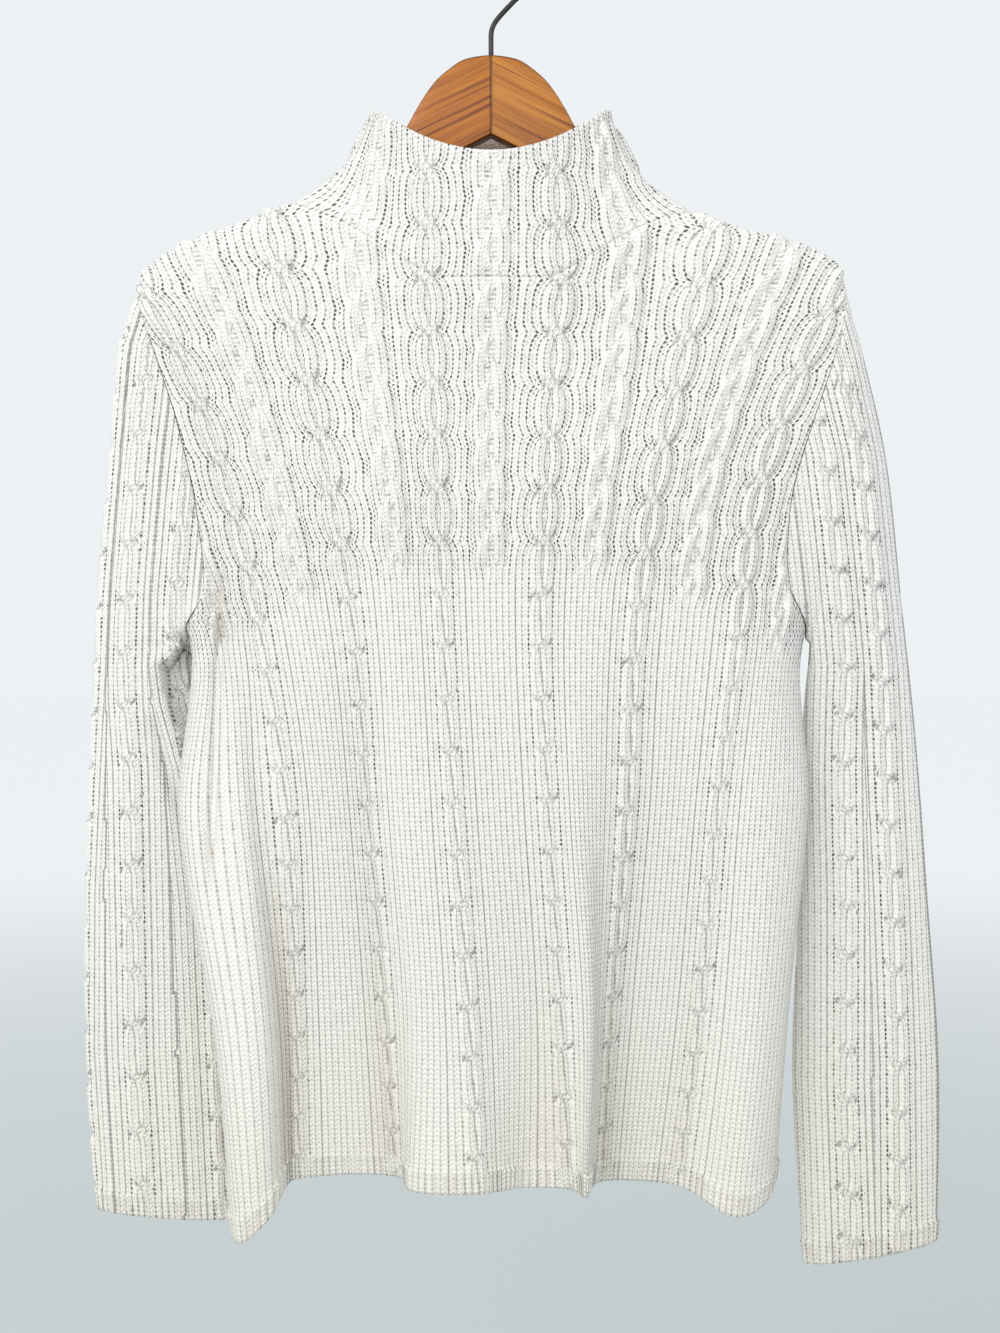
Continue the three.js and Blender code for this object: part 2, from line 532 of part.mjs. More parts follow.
const HOOK_WIRE = 1.6;
const HOOK_RADIUS = 25;
function hook() {
  const centre = HOOK_WIRE - HOOK_RADIUS;
  const at = (deg) => new THREE.Vector3(HOOK_RADIUS * Math.cos((deg * Math.PI) / 180), 0, centre + HOOK_RADIUS * Math.sin((deg * Math.PI) / 180));
  const path = new THREE.CurvePath();
  const foot = new THREE.Vector3(0, 0, centre - HOOK_RADIUS - 17.6);
  path.add(new THREE.LineCurve3(new THREE.Vector3(0, 0, -108.6), foot));
  path.add(new THREE.CubicBezierCurve3(foot, new THREE.Vector3(0, 0, foot.z + 8), new THREE.Vector3(5, 0, centre - 30.6), at(-53)));
  const loop = new THREE.Curve();
  loop.getPoint = (t, target = new THREE.Vector3()) => target.copy(at(-53 + 255 * t));
  path.add(loop);
  const stops = [0, 0.12, 0.24];
  const points = [path.curves[0].getPoint(0), path.curves[0].getPoint(0.5)];
  for (const t of [0, 0.25, 0.5, 0.75]) points.push(path.curves[1].getPoint(t));
  for (let k = 0; k <= 20; k++) points.push(loop.getPoint(k / 20));
  const sides = 8;
  const position = [];
  const face = [];
  points.forEach((p, k) => {
    const ahead = points[Math.min(points.length - 1, k + 1)].clone().sub(points[Math.max(0, k - 1)]).normalize();
    const nx = -ahead.z;
    const nz = ahead.x;
    for (let j = 0; j < sides; j++) {
      const c = Math.cos((2 * Math.PI * j) / sides) * HOOK_WIRE;
      const s = Math.sin((2 * Math.PI * j) / sides) * HOOK_WIRE;
      position.push(p.x + nx * c, s, p.z + nz * c);
    }
  });
  const last = points.length - 1;
  for (let k = 0; k < last; k++)
    for (let j = 0; j < sides; j++) {
      const a = k * sides + j;
      const b = k * sides + ((j + 1) % sides);
      face.push(a, b, b + sides, a, b + sides, a + sides);
    }
  for (let j = 1; j < sides - 1; j++) face.push(0, j + 1, j, last * sides, last * sides + j, last * sides + j + 1);
  const g = new THREE.BufferGeometry();
  g.setAttribute("position", new THREE.Float32BufferAttribute(position, 3));
  g.setIndex(face);
  const flipped = solid(g);
  if (flipped.volume() < 0) {
    const idx = g.index.array;
    for (let i = 0; i < idx.length; i += 3) [idx[i + 1], idx[i + 2]] = [idx[i + 2], idx[i + 1]];
  }
  g.computeVertexNormals();
  const mesh = new THREE.Mesh(g, steel);
  mesh.name = "hook";
  return mesh;
}

const group = new THREE.Group();
const front = panel("front_panel", 1, 15.4, [-0.4, 0, 0.4], 0.42);
const back = panel("back_panel", -1, 20, [0], 0.8);
group.add(front.mesh, back.mesh);
const armholeA = (q) => Math.acos(2 * q - 1) / Math.PI;
const round = (f, b) => [...f.map(armholeA), ...b.map((q) => 2 - armholeA(q))].filter((a) => a < 2).sort((x, y) => x - y).filter((a, k, all) => !k || a - all[k - 1] > 1e-6);
const edges = { outer: round(front.outer, back.outer), inner: round(front.inner, back.inner) };
group.add(sleeve("sleeve_right", SLEEVE_LEFT, -1, edges));
group.add(sleeve("sleeve_left", SLEEVE_RIGHT, 1, edges));
group.add(collar());
group.add(arm("hanger_arm_right", -1));
group.add(arm("hanger_arm_left", 1));
group.add(hook());
export default group;
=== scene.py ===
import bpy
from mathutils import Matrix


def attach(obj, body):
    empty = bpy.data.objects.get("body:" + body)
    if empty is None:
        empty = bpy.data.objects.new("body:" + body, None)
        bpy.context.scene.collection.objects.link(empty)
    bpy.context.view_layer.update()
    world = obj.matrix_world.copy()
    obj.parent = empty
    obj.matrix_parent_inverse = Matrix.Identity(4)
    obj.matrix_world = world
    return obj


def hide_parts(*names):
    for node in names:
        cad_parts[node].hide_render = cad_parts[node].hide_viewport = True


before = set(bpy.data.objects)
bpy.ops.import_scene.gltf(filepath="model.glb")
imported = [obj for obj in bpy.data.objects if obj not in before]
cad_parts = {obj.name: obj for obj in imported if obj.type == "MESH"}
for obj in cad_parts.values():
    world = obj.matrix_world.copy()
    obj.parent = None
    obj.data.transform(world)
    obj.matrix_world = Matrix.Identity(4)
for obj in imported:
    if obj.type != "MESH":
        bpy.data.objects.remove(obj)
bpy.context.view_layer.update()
import bpy
import numpy as np

# The front panel is knitted in one piece of soft cream wool: rope cables from neck and shoulders to the hem,
# plaits and ribs between them on the yoke, plain stocking stitch below. It hangs in six soft upright folds.
WALL = 2.6  # mm thick
COLUMN = 31  # mm across one knit column
SEAM = 7.6  # half the panel's width in knit columns
NECK = 2.8  # half the neck's
ARMPIT = -443.0
BELOW_ARMPIT, ABOVE_ARMPIT = 332, 215  # mean lengths of cloth to the hem and to the top edge
HEIGHTS = np.array([-775.0, -668, -543, -443, -356, -275, -190])
# A row per fold line: its knit column w, then x at the seven heights, then f, the distance forward, at them.
front_folds = np.array([
    [-7.6, -154, -165, -189, -188, -242, -281, -340, 16, 14, 8, -2, -4, 0, 8],
    [-7.1, -157, -168, -191, -187, -226, -263, -320, 31, 27, 21, 9, 2, 4, 10],
    [-6.5, -148, -160, -181, -176, -207, -242, -297, 46, 41, 34, 19, 8, 8, 11],
    [-5.9, -131, -137, -153, -163, -188, -221, -274, 37, 37, 28, 18, 15, 16, 16],
    [-5.45, -125, -129, -142, -150, -172, -203, -256, 14, 18, 22, 21, 18, 18, 17],
    [-5.0, -118, -120, -125, -139, -159, -188, -237, 13, 16, 22, 26, 22, 19, 17],
    [-4.0, -88, -92, -99, -110, -128, -152, -186, 9, 14, 23, 32, 30, 22, 18],
    [-3.0, -58, -65, -75, -82, -96, -115, -136, 14, 18, 24, 34, 34, 24, 18],
    [-2.1, -46, -44, -52, -57, -64, -78, -88, 42, 38, 38, 40, 40, 25, 20],
    [-1.0, -7, -13, -22, -28, -32, -36, -42, 44, 42, 42, 42, 40, 27, 26],
    [0.3, 21, 22, 14, 9, 9, 10, 14, 28, 33, 38, 42, 42, 28, 28],
    [1.0, 48, 43, 35, 30, 33, 38, 46, 29, 35, 39, 42, 42, 27, 26],
    [1.75, 57, 60, 53, 51, 57, 67, 74, 44, 44, 44, 42, 41, 26, 21],
    [2.5, 62, 66, 69, 72, 81, 96, 108, 24, 30, 38, 40, 38, 24, 16],
    [3.0, 68, 74, 83, 87, 98, 116, 138, 13, 20, 30, 36, 36, 24, 18],
    [4.0, 90, 101, 111, 118, 129, 153, 186, 12, 17, 26, 32, 30, 22, 18],
    [5.0, 115, 128, 138, 150, 162, 191, 235, 18, 22, 28, 28, 24, 19, 17],
    [6.2, 146, 159, 169, 179, 199, 238, 283, 42, 38, 32, 22, 13, 15, 16],
    [7.0, 167, 178, 190, 192.4, 223, 268, 313, 31, 27, 20, 10, 6, 6, 10],
    [7.6, 176, 185, 198, 196.2, 241, 292, 335, 12, 10, 6, -2, 0, 2, 8]])
shoulder_line = np.array([[2.8, -171.5, -177], [3.4, -183, -187], [4.2, -197, -196], [4.8, -212, -209],
                          [5.15, -228, -227]])  # w, height on the left, height on the right
armhole_width = np.array([[0, 7.6], [0.06, 6.85], [0.14, 6.2], [0.35, 5.8], [0.6, 5.6], [0.8, 5.45], [1, 5.15]])
hem_line = np.array([[-7.6, -800], [-6.5, -804], [-5.6, -782], [-5, -776], [-2, -775], [1.75, -778], [5, -779],
                     [6.3, -790], [7.6, -778]])
# Rope cables: column w, height of one crossing, distance down to the next, and how that distance eases.
ropes = np.array([[-5, -431.2, -31.55, 0.344], [-3, -450.7, -31.8, 0.236], [-1, -447.7, -31.44, 0.091],
                  [1, -447.5, -31.13, 0.103], [3, -455.3, -31.25, 0.243], [5, -442.2, -31.19, 0.332]])
# Plaits: column w, height of one left-hand node, and the distance to the next node on that side.
plaits = np.array([[-6, -372, 31.5], [-4, -289, 31.8], [-2, -241, 32], [0, -176, 30.4], [2, -241, 32],
                   [4, -290, 31.8], [6, -372, 31.5]])


def smooth(t):
    """Rises from 0 to 1 with level ends, 3t squared less 2t cubed."""
    t = np.clip(t, 0, 1)
    return t * t * (3 - 2 * t)


def mix(a, b, t):
    """a where t is 0, b where t is 1."""
    return a + (b - a) * t


def curve(knots, values, t):
    """Cubic through the values at the knots: each slope is that of its two neighbours, and the ends run level."""
    t = np.asarray(t, float)
    n = len(knots)
    i = np.clip(np.searchsorted(knots, t, side="right") - 1, 0, n - 2)
    v = np.asarray(values, float)
    if v.ndim == 1:
        v = v.reshape((n,) + (1,) * t.ndim)
    v = np.broadcast_to(v, (n,) + t.shape)
    k = np.asarray(knots, float).reshape((n,) + (1,) * t.ndim)
    slope = (v[2:] - v[:-2]) / (k[2:] - k[:-2])
    first, last = (v[1:2] - v[:1]) / (k[1] - k[0]), (v[-1:] - v[-2:-1]) / (k[-1] - k[-2])
    slope = np.concatenate([first, slope, last])
    pick = lambda a: np.take_along_axis(a, i[None], 0)[0]
    v0, v1, m0, m1 = pick(v[:-1]), pick(v[1:]), pick(slope[:-1]), pick(slope[1:])
    k0, h = np.asarray(knots, float)[i], np.diff(knots)[i]
    s = np.clip((t - k0) / h, 0, 1)
    return ((2 * s**3 - 3 * s**2 + 1) * v0 + (s**3 - 2 * s**2 + s) * h * m0
            + (3 * s**2 - 2 * s**3) * v1 + (s**3 - s**2) * h * m1)


def top_edge(w, side):
    """Height and f of a panel's top edge: the shoulder line beyond the neck points, the neck curve between."""
    a = np.abs(w)
    shoulder = np.where(w < 0, curve(shoulder_line[:, 0], shoulder_line[:, 1], a),
                        curve(shoulder_line[:, 0], shoulder_line[:, 2], a))
    ends = mix(-171.5, -177, 0.5 + w / (2 * NECK))
    hollow = np.sqrt(np.clip(1 - (a / NECK) ** 2, 0, 1))
    if side > 0:
        rise = 0.35 * smooth((a - 0.6) / 2.2) + 0.65 * np.clip((a - 0.9) / 1.9, 0, 1)
        z, f = mix(-223, ends, rise), 28 * hollow
    else:
        z, f = ends - 12 * (1 - (a / NECK) ** 2), -20 * hollow
    return np.where(a >= NECK, shoulder, z), np.where(a >= NECK, 0, f)


def panel_point(folds, side, w, q):
    """Point of a panel: x and f read across its fold lines at that height, drawn in to the ridge at the top.
    q is -1 at the hem, 0 at the armpit and 1 at the top edge."""
    top_z, top_f = top_edge(w, side)
    z = np.where(q < 0, mix(ARMPIT, curve(hem_line[:, 0], hem_line[:, 1], w), -q), mix(ARMPIT, top_z, q))
    level = np.where(q < 0, mix(ARMPIT, HEIGHTS[0], -q), z)
    up = lambda rows, first: np.stack([curve(HEIGHTS, r[first:first + 7], level) for r in rows])
    x = curve(folds[:, 0], up(folds, 1), w)
    if side < 0:
        x = mix(x, curve(front_folds[:, 0], up(front_folds, 1), w), smooth((level - ARMPIT) / 70))
    f = curve(folds[:, 0], up(folds, 8), w)
    down = np.maximum(top_z - z, 0)
    ridge = np.sqrt(np.clip(1 - np.clip(1 - down / 20, 0, 1) ** 2, 0, 1))
    drawn = mix(top_f, f, mix(smooth(down / 45), ridge, smooth((np.abs(w) - 1.7) / 1.1)))
    return np.stack([x, -np.where(q > 0, drawn, f), z], -1)


def half_width(q):
    """Half the panel's width in knit columns: full below the armpit, the armhole's curve above it."""
    return np.where(q <= 0, SEAM, curve(armhole_width[:, 0], armhole_width[:, 1], np.clip(q, 0, 1)))


def panel_grid(steps_down, steps_up, steps_top):
    """Knit column and height share of every grid point: lines crowd on the cables, rows crowd at the ridge."""
    lines = [np.linspace(-SEAM, -6.32, 16, endpoint=False)]
    for c in range(-6, 7):
        r, n = (0.27, 16) if c % 2 else (0.32, 18)
        lines.append(np.linspace(c - r, c + r, n, endpoint=False))
        if c < 6:
            lines.append(np.linspace(c + r, c + (0.68 if c % 2 else 0.73), 6, endpoint=False))
    lines.append(np.linspace(6.32, SEAM, 17))
    column = np.concatenate(lines)
    q = np.concatenate([np.linspace(-1, 0, steps_down, endpoint=False),
                        np.linspace(0, 0.92, steps_up, endpoint=False),
                        1 - 0.08 * np.linspace(1, 0, steps_top + 1) ** 2])
    w0, q = np.meshgrid(column, q)
    half = half_width(q)
    keep = np.minimum(0.56, 0.8 * (half - 4.7))
    s = (np.abs(w0) - 4.7) / (SEAM - 4.7)
    edge = np.where(s < 0.193, 4.7 + keep * s / 0.193, 4.7 + keep + (half - 4.7 - keep) * (s - 0.193) / 0.807)
    return np.where(np.abs(w0) > 4.7, np.sign(w0) * edge, w0), q


def rope(d, turn, r, swing, sharp, high):
    """Height over the plain cloth, place across a strand and reach of a rope cable, d off its line, in columns:
    two round strands change sides at each whole turn, and the one that comes from the left lies on top.
    r is half a strand's width, swing its way to each side, sharp how slowly it crosses, high its height."""
    side, over = np.sin(np.pi * turn), np.cos(np.pi * turn)
    place = swing * side / np.sqrt((1 - sharp) * side**2 + sharp)
    lift = 0.42 * high * np.sign(over) * np.exp(-(side / 0.5) ** 2)
    strand = lambda at, up: high * np.sqrt(np.clip(1 - ((d - at) / r) ** 2, 0, 1)) - 0.24 * high + up
    a = np.where(np.abs(d - place) < r, strand(place, lift), -9)
    b = np.where(np.abs(d + place) < r, strand(-place, -lift), -9)
    at = np.where(a >= b, place, -place)
    column = (d - at) / r + 1.5 * np.clip(1.4 * at / swing, -1, 1)
    return np.maximum(a, b), column, np.abs(place) + r


def plait(d, turn, r, swing):
    """The same for a plait of three strands, which cross on the right and on the left in turn."""
    best = np.full(np.shape(d), -9.0)
    across, reach = np.zeros(np.shape(d)), np.zeros(np.shape(d))
    for k in range(3):
        angle = 2 * np.pi * (turn + k / 3)
        side = np.sin(angle)
        place = swing * side / np.sqrt(0.75 * side**2 + 0.25)
        up = 4.0 * np.sqrt(np.clip(1 - ((d - place) / r) ** 2, 0, 1)) - 1.0 + 1.6 * np.sin(2 * angle)
        up = np.where(np.abs(d - place) < r, up, -9)
        across = np.where(up > best, (d - place) / r + np.clip(1.4 * place / swing, -1, 1), across)
        best = np.maximum(best, up)
        reach = np.maximum(reach, np.sign(d) * place + r)
    return best, across, reach


def rope_turn(first, step, ease, z):
    """Number of crossings passed at height z: the root of first + step k + ease k squared = z."""
    return 2 * (z - first) / (step - np.sqrt(np.maximum(step**2 - 4 * ease * (first - z), 9)))


COURSE = 2.8  # mm up one stitch
WALE = 0.1258  # columns across one stitch
CABLE_HALF = 0.245  # columns from a cable's line to its edge, below the yoke


def cable_relief(w, z):
    """Raised height in mm, stitch column u, share of painted shade in the gaps between stitches, wales counted
    from the nearest rope, and share of yoke, at knit column w and height z. In the yoke a rope, a purl wale, a
    rib of two, a purl wale and a plait follow each other; below it there is plain knitting, with one sunk line
    two wales from each rope."""
    end = np.interp(np.abs(w), [0, 2, 4, 6, 8], [-407, -404, -422, -450, -480])
    yoke = smooth((z - end + 6) / 24)
    which = np.clip(np.round((w + 5) / 2), 0, 5).astype(int)
    line, first, step, ease = np.moveaxis(ropes[which], -1, 0)
    turn = rope_turn(first, step, ease, z)
    d = w - line
    up, across, reach = rope(d, turn, mix(0.125, 0.108, yoke), mix(0.12, 0.145, yoke), mix(0.08, 0.3, yoke),
                             mix(2.5, 3.9, yoke))
    pick = np.clip(np.round(w / 2), -3, 3).astype(int) + 3
    centre, node, period = np.moveaxis(plaits[pick], -1, 0)
    off = w - centre
    p_up, p_across, p_reach = plait(off, (node - z) / (3 * period) + 0.25, r=0.112, swing=0.19)
    knot = smooth((np.cos(2 * np.pi * ((node - z) / period + 0.5 * (off > 0))) - 0.1) / 0.8)
    t = np.abs(d)
    room = np.maximum(np.where(t < 1, 1 - p_reach, 0.8) - reach, 0.1)
    beside = mix((t - CABLE_HALF) / WALE, np.minimum((t - reach) / (room / 4), np.where(t < 1, 6, 99)), yoke)
    crossing = np.exp(-(np.sin(np.pi * turn) / 0.32) ** 2)
    rib = np.clip(1 - np.abs(beside - 2) ** 4, 0, 1)
    h = mix(-0.45 * np.exp(-((beside - 2) / 0.35) ** 2), 1.5 * rib - 0.8, yoke)
    # gap_shade is painted shade: dark dots in the gaps between stitches, heavier beside rope crossings, round plait
    # knots and along the cables' edges.
    gap_shade = mix(0.34, np.where(np.abs(beside - 2) < 0.8, 0.7, 1.15), yoke)
    gap_shade = gap_shade + crossing * np.exp(-((beside - 0.3) / 0.7) ** 2) * mix(0.5, 1.9, yoke)
    gap_shade = gap_shade + (1 - yoke) * 0.5 * np.exp(-((t - CABLE_HALF) / WALE / 0.4) ** 2)
    gap_shade = gap_shade + 2.2 * yoke * knot * np.exp(-((np.abs(off) - p_reach - 0.06) / 0.06) ** 2)
    in_plait = (np.abs(off) < p_reach) & (yoke > 0.02)
    u = 8.5 * line + np.sign(d) * (2.5 + beside)
    u = np.where(in_plait, mix(u, 8.5 * centre + p_across, smooth((yoke - 0.3) / 0.4)), u)
    h = np.where(in_plait, mix(h, np.maximum(p_up, 0.5), yoke), h)
    gap_shade = np.where(in_plait, np.where(p_up < 0.6, 0.3, 0.5 * (1 - knot)), gap_shade)
    in_rope = t < reach
    h = np.where(in_rope, np.maximum(up, 0.2), h)
    u = np.where(in_rope, 8.5 * line + np.where(up > -0.4, across, 0.5 * d / np.maximum(reach - 0.2, 0.02)), u)
    # Painted shade along each cable's edge below the yoke.
    edge = (1 - yoke) * 0.6 * np.exp(-((t - CABLE_HALF) / 0.04) ** 2)
    gap_shade = np.where(in_rope, np.where(up > 0.3, mix(0.3, 0.55, yoke) * (1 - crossing) + edge, 0.8), gap_shade)
    gap_shade = gap_shade * mix(1, 0.5, smooth((-560 - z) / 170))
    return h, u, gap_shade, np.where(in_rope, 0, beside), yoke


def lay_relief(points, height):
    """Moves a grid of points out along its own normals by height, in mm; gives the points and the normals."""
    across, along = np.gradient(points, axis=1), np.gradient(points, axis=0)
    n = np.cross(across, along)
    n /= np.maximum(np.linalg.norm(n, axis=-1, keepdims=True), 1e-9)
    return points + n * height[..., None], n


def cloth_piece(name, points, normals, plain, closed, flip, stitch, marks):
    """A closed wall: the fine outer grid, an inner grid on every fourth line, and rims that take five outer
    points to two inner ones. closed joins the first column to the last."""
    rows, cols = points.shape[:2]
    inner = (plain - normals * WALL)[::4, ::4]
    if closed:
        inner = inner[:, :-1]
        points = points[:, :-1]
        marks = {label: values[:, :-1] for label, values in marks.items()}
    oc, ic = points.shape[1], inner.shape[1]
    ir = inner.shape[0]
    out = np.arange(rows * oc).reshape(rows, oc)
    inn = rows * oc + np.arange(ir * ic).reshape(ir, ic)
    if closed:
        out, inn = np.column_stack([out, out[:, :1]]), np.column_stack([inn, inn[:, :1]])
    cell = lambda g: np.stack([g[:-1, :-1], g[:-1, 1:], g[1:, 1:], g[1:, :-1]], -1).reshape(-1, 4)
    quads = [cell(out), cell(inn)[:, ::-1]]
    five = lambda line: np.stack([line[k:len(line) - 4 + k:4] for k in range(5)], -1)
    rim = lambda o, i: np.column_stack([five(o)[:, ::-1], i[:-1], i[1:]])
    rims = [rim(out[0], inn[0]), rim(out[-1], inn[-1])[:, ::-1]]
    if not closed:
        rims += [rim(out[:, 0], inn[:, 0])[:, ::-1], rim(out[:, -1], inn[:, -1])]
    faces = [f if not flip else f[:, ::-1] for f in quads + rims]
    mesh = bpy.data.meshes.new(name)
    verts = np.concatenate([points.reshape(-1, 3), inner.reshape(-1, 3)]) / 1000
    loops = np.concatenate([f.reshape(-1) for f in faces])
    sizes = np.concatenate([np.full(len(f), f.shape[1]) for f in faces])
    mesh.vertices.add(len(verts))
    mesh.vertices.foreach_set("co", verts.astype(np.float32).reshape(-1))
    mesh.loops.add(len(loops))
    mesh.loops.foreach_set("vertex_index", loops.astype(np.int32))
    mesh.polygons.add(len(sizes))
    mesh.polygons.foreach_set("loop_start", (np.cumsum(sizes) - sizes).astype(np.int32))
    mesh.polygons.foreach_set("loop_total", sizes.astype(np.int32))
    mesh.update(calc_edges=True)
    mesh.validate()
    mesh.polygons.foreach_set("use_smooth", np.ones(len(mesh.polygons), bool))
    # the stitch coordinates go to the corners, so that a ring doesn't run back over its last column
    corners = cell(np.arange(rows * cols).reshape(rows, cols))
    if flip:
        corners = corners[:, ::-1]
    by_point = np.concatenate([stitch[:, :oc].reshape(-1, 2), stitch[::4, ::4][:, :ic].reshape(-1, 2)])
    uv = by_point[loops]
    uv[:corners.size] = stitch.reshape(-1, 2)[corners.reshape(-1)]
    layer = mesh.uv_layers.new(name="stitch")
    layer.data.foreach_set("uv", uv.astype(np.float32).reshape(-1))
    for label, values in marks.items():
        data = mesh.attributes.new(label, "FLOAT", "POINT").data
        data.foreach_set("value", np.concatenate([values.reshape(-1), np.zeros(ir * ic)]).astype(np.float32))
    piece = bpy.data.objects.new(name, mesh)
    bpy.context.scene.collection.objects.link(piece)
    return piece


def knit_wool():
    """Cream wool: each stitch is a V whose two legs rise outward from the middle of its column, with a little
    painted shade low between the legs; purl columns are rows of small bars with painted shade in their gaps, and
    hollows between strands get a warmer, darker painted shade."""
    mat = bpy.data.materials.new("cream_wool")
    mat.use_nodes = True
    tree = mat.node_tree
    nodes, links = tree.nodes, tree.links
    shader = nodes["Principled BSDF"]

    def maths(kind, a, b=0.0, c=0.0):
        node = nodes.new("ShaderNodeMath")
        node.operation = kind
        for socket, value in zip(node.inputs, (a, b, c)):
            if isinstance(value, (int, float)):
                socket.default_value = value
            else:
                links.new(value, socket)
        return node.outputs[0]

    def attribute(label):
        node = nodes.new("ShaderNodeAttribute")
        node.attribute_name = label
        return node.outputs["Fac"]

    uv = nodes.new("ShaderNodeUVMap")
    uv.uv_map = "stitch"
    part = nodes.new("ShaderNodeSeparateXYZ")
    links.new(uv.outputs[0], part.inputs[0])
    u, v = part.outputs[0], part.outputs[1]
    place = nodes.new("ShaderNodeTexCoord").outputs["Object"]
    wobble = nodes.new("ShaderNodeTexNoise")
    wobble.inputs["Scale"].default_value = 160
    wobble.inputs["Detail"].default_value = 1
    links.new(place, wobble.inputs["Vector"])
    shift = maths("MULTIPLY_ADD", wobble.outputs["Fac"], 0.5, -0.25)
    out = maths("ABSOLUTE", maths("MULTIPLY_ADD", maths("FRACT", u), 2.0, -1.0))
    climb = maths("ADD", maths("MULTIPLY_ADD", out, 0.95, v), shift)
    leg = maths("MULTIPLY_ADD", maths("COSINE", maths("MULTIPLY", climb, 2 * np.pi)), 0.5, 0.5)
    trough = maths("POWER", maths("ABSOLUTE", maths("MULTIPLY_ADD", out, 2.0, -1.0)), 2.2)
    side = maths("SUBTRACT", 1.0, maths("MULTIPLY", trough, maths("MULTIPLY_ADD", out, 0.6, 0.4)))
    vee = maths("MULTIPLY", side, maths("MULTIPLY_ADD", leg, 0.6, 0.4))
    gap_shade, beside, yoke = attribute("gap_shade"), attribute("beside"), attribute("yoke")

    def dots(from_middle, shifted, wide, tall):
        """Small ovals of painted shade, one in each stitch, at a distance from the wale's line."""
        up = maths("SUBTRACT", maths("FRACT", maths("ADD", maths("ADD", v, shift), shifted)), 0.5)
        far = maths("ADD", maths("POWER", maths("DIVIDE", from_middle, wide), 2.0),
                    maths("POWER", maths("DIVIDE", maths("ABSOLUTE", up), tall), 2.0))
        return maths("MAXIMUM", maths("SUBTRACT", 1.0, far), 0.0)

    patch = nodes.new("ShaderNodeTexNoise")
    patch.inputs["Scale"].default_value = 260
    patch.inputs["Detail"].default_value = 0
    links.new(place, patch.inputs["Vector"])
    uneven = maths("MULTIPLY_ADD", patch.outputs["Fac"], 3.2, -0.6)
    between = dots(maths("SUBTRACT", 1.0, out), 0.0, 0.32, 0.38)
    inside = dots(out, 0.5, 0.24, 0.26)
    # Painted shade along the sunk purl line two wales from each rope, below the yoke.
    line = maths("MAXIMUM", maths("SUBTRACT", 1.0, maths("DIVIDE", maths("ABSOLUTE", maths(
        "SUBTRACT", beside, 2.0)), 0.16)), 0.0)
    row = maths("MULTIPLY", maths("ADD", v, shift), 2 * np.pi)
    stitches = maths("MULTIPLY_ADD", maths("COSINE", row), 0.5, 0.5)
    line = maths("MULTIPLY", maths("MULTIPLY", line, maths("MULTIPLY_ADD", stitches, 0.75, 0.25)),
                 maths("SUBTRACT", 0.6, maths("MULTIPLY", yoke, 0.6)))
    # hole_shade is painted shade: dark dots in the gaps between stitches, as strong as the gap_shade attribute
    # gives.
    hole_shade = maths("MULTIPLY", maths("MULTIPLY", maths("MULTIPLY_ADD", inside, 0.5, between), gap_shade), uneven)
    fuzz = nodes.new("ShaderNodeTexNoise")
    fuzz.inputs["Scale"].default_value = 900
    fuzz.inputs["Detail"].default_value = 3
    links.new(place, fuzz.inputs["Vector"])
    height = maths("MULTIPLY_ADD", fuzz.outputs["Fac"], 0.25, vee)
    height = maths("SUBTRACT", height, maths("MULTIPLY", hole_shade, 0.6))
    bump = nodes.new("ShaderNodeBump")
    bump.inputs["Strength"].default_value = 0.9
    bump.inputs["Distance"].default_value = 0.0011
    links.new(height, bump.inputs["Height"])
    links.new(bump.outputs[0], shader.inputs["Normal"])
    # Painted shade: the low parts of each stitch's V are a little darker.
    low = maths("MULTIPLY", maths("SUBTRACT", 1.0, vee), 0.075)
    dark = maths("MINIMUM", maths("ADD", maths("ADD", hole_shade, low), line), 1.0)
    tone = nodes.new("ShaderNodeValToRGB")
    tone.color_ramp.elements[0].position = 0.0
    tone.color_ramp.elements[0].color = (0.885, 0.877, 0.845, 1)
    tone.color_ramp.elements[1].position = 1.0
    tone.color_ramp.elements[1].color = (0.10, 0.09, 0.075, 1)
    links.new(dark, tone.inputs[0])
    # Painted shade: the painted_shade attribute darkens the wool towards warm brown in folds, in the armpit pocket
    # and between ribs.
    fold = nodes.new("ShaderNodeMix")
    fold.data_type, fold.blend_type = "RGBA", "MULTIPLY"
    links.new(attribute("painted_shade"), fold.inputs["Factor"])
    # Painted shade: the wool gets warmer and darker towards the hem, from about 0.53 m down.
    low_down = nodes.new("ShaderNodeSeparateXYZ")
    links.new(place, low_down.inputs[0])
    lower_shade = nodes.new("ShaderNodeMix")
    lower_shade.data_type, lower_shade.blend_type = "RGBA", "MULTIPLY"
    depth = maths("MULTIPLY_ADD", low_down.outputs[2], -3.3, -1.75)
    links.new(maths("MINIMUM", maths("MAXIMUM", depth, 0.0), 1.0), lower_shade.inputs["Factor"])
    links.new(tone.outputs[0], lower_shade.inputs[6])
    lower_shade.inputs[7].default_value = (0.965, 0.94, 0.885, 1)
    links.new(lower_shade.outputs[2], fold.inputs[6])
    fold.inputs[7].default_value = (0.46, 0.36, 0.26, 1)
    links.new(fold.outputs[2], shader.inputs["Base Color"])
    shader.inputs["Roughness"].default_value = 0.95
    shader.inputs["Specular IOR Level"].default_value = 0.15
    shader.inputs["Sheen Weight"].default_value = 0.25
    shader.inputs["Sheen Roughness"].default_value = 0.6
    shader.inputs["Sheen Tint"].default_value = (1.0, 0.97, 0.92, 1)
    return mat


wool = knit_wool()


def finish_cloth(piece, node):
    """Gives a sewn piece its wool, hangs it on the hanger and hides the plain part it replaces."""
    piece.data.materials.append(wool)
    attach(piece, "root")
    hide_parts(node)


RIB, BAND, ROLL = 4.6, 14.5, 12.5  # mm from rib to rib, and heights of a turned band and of its rolled line


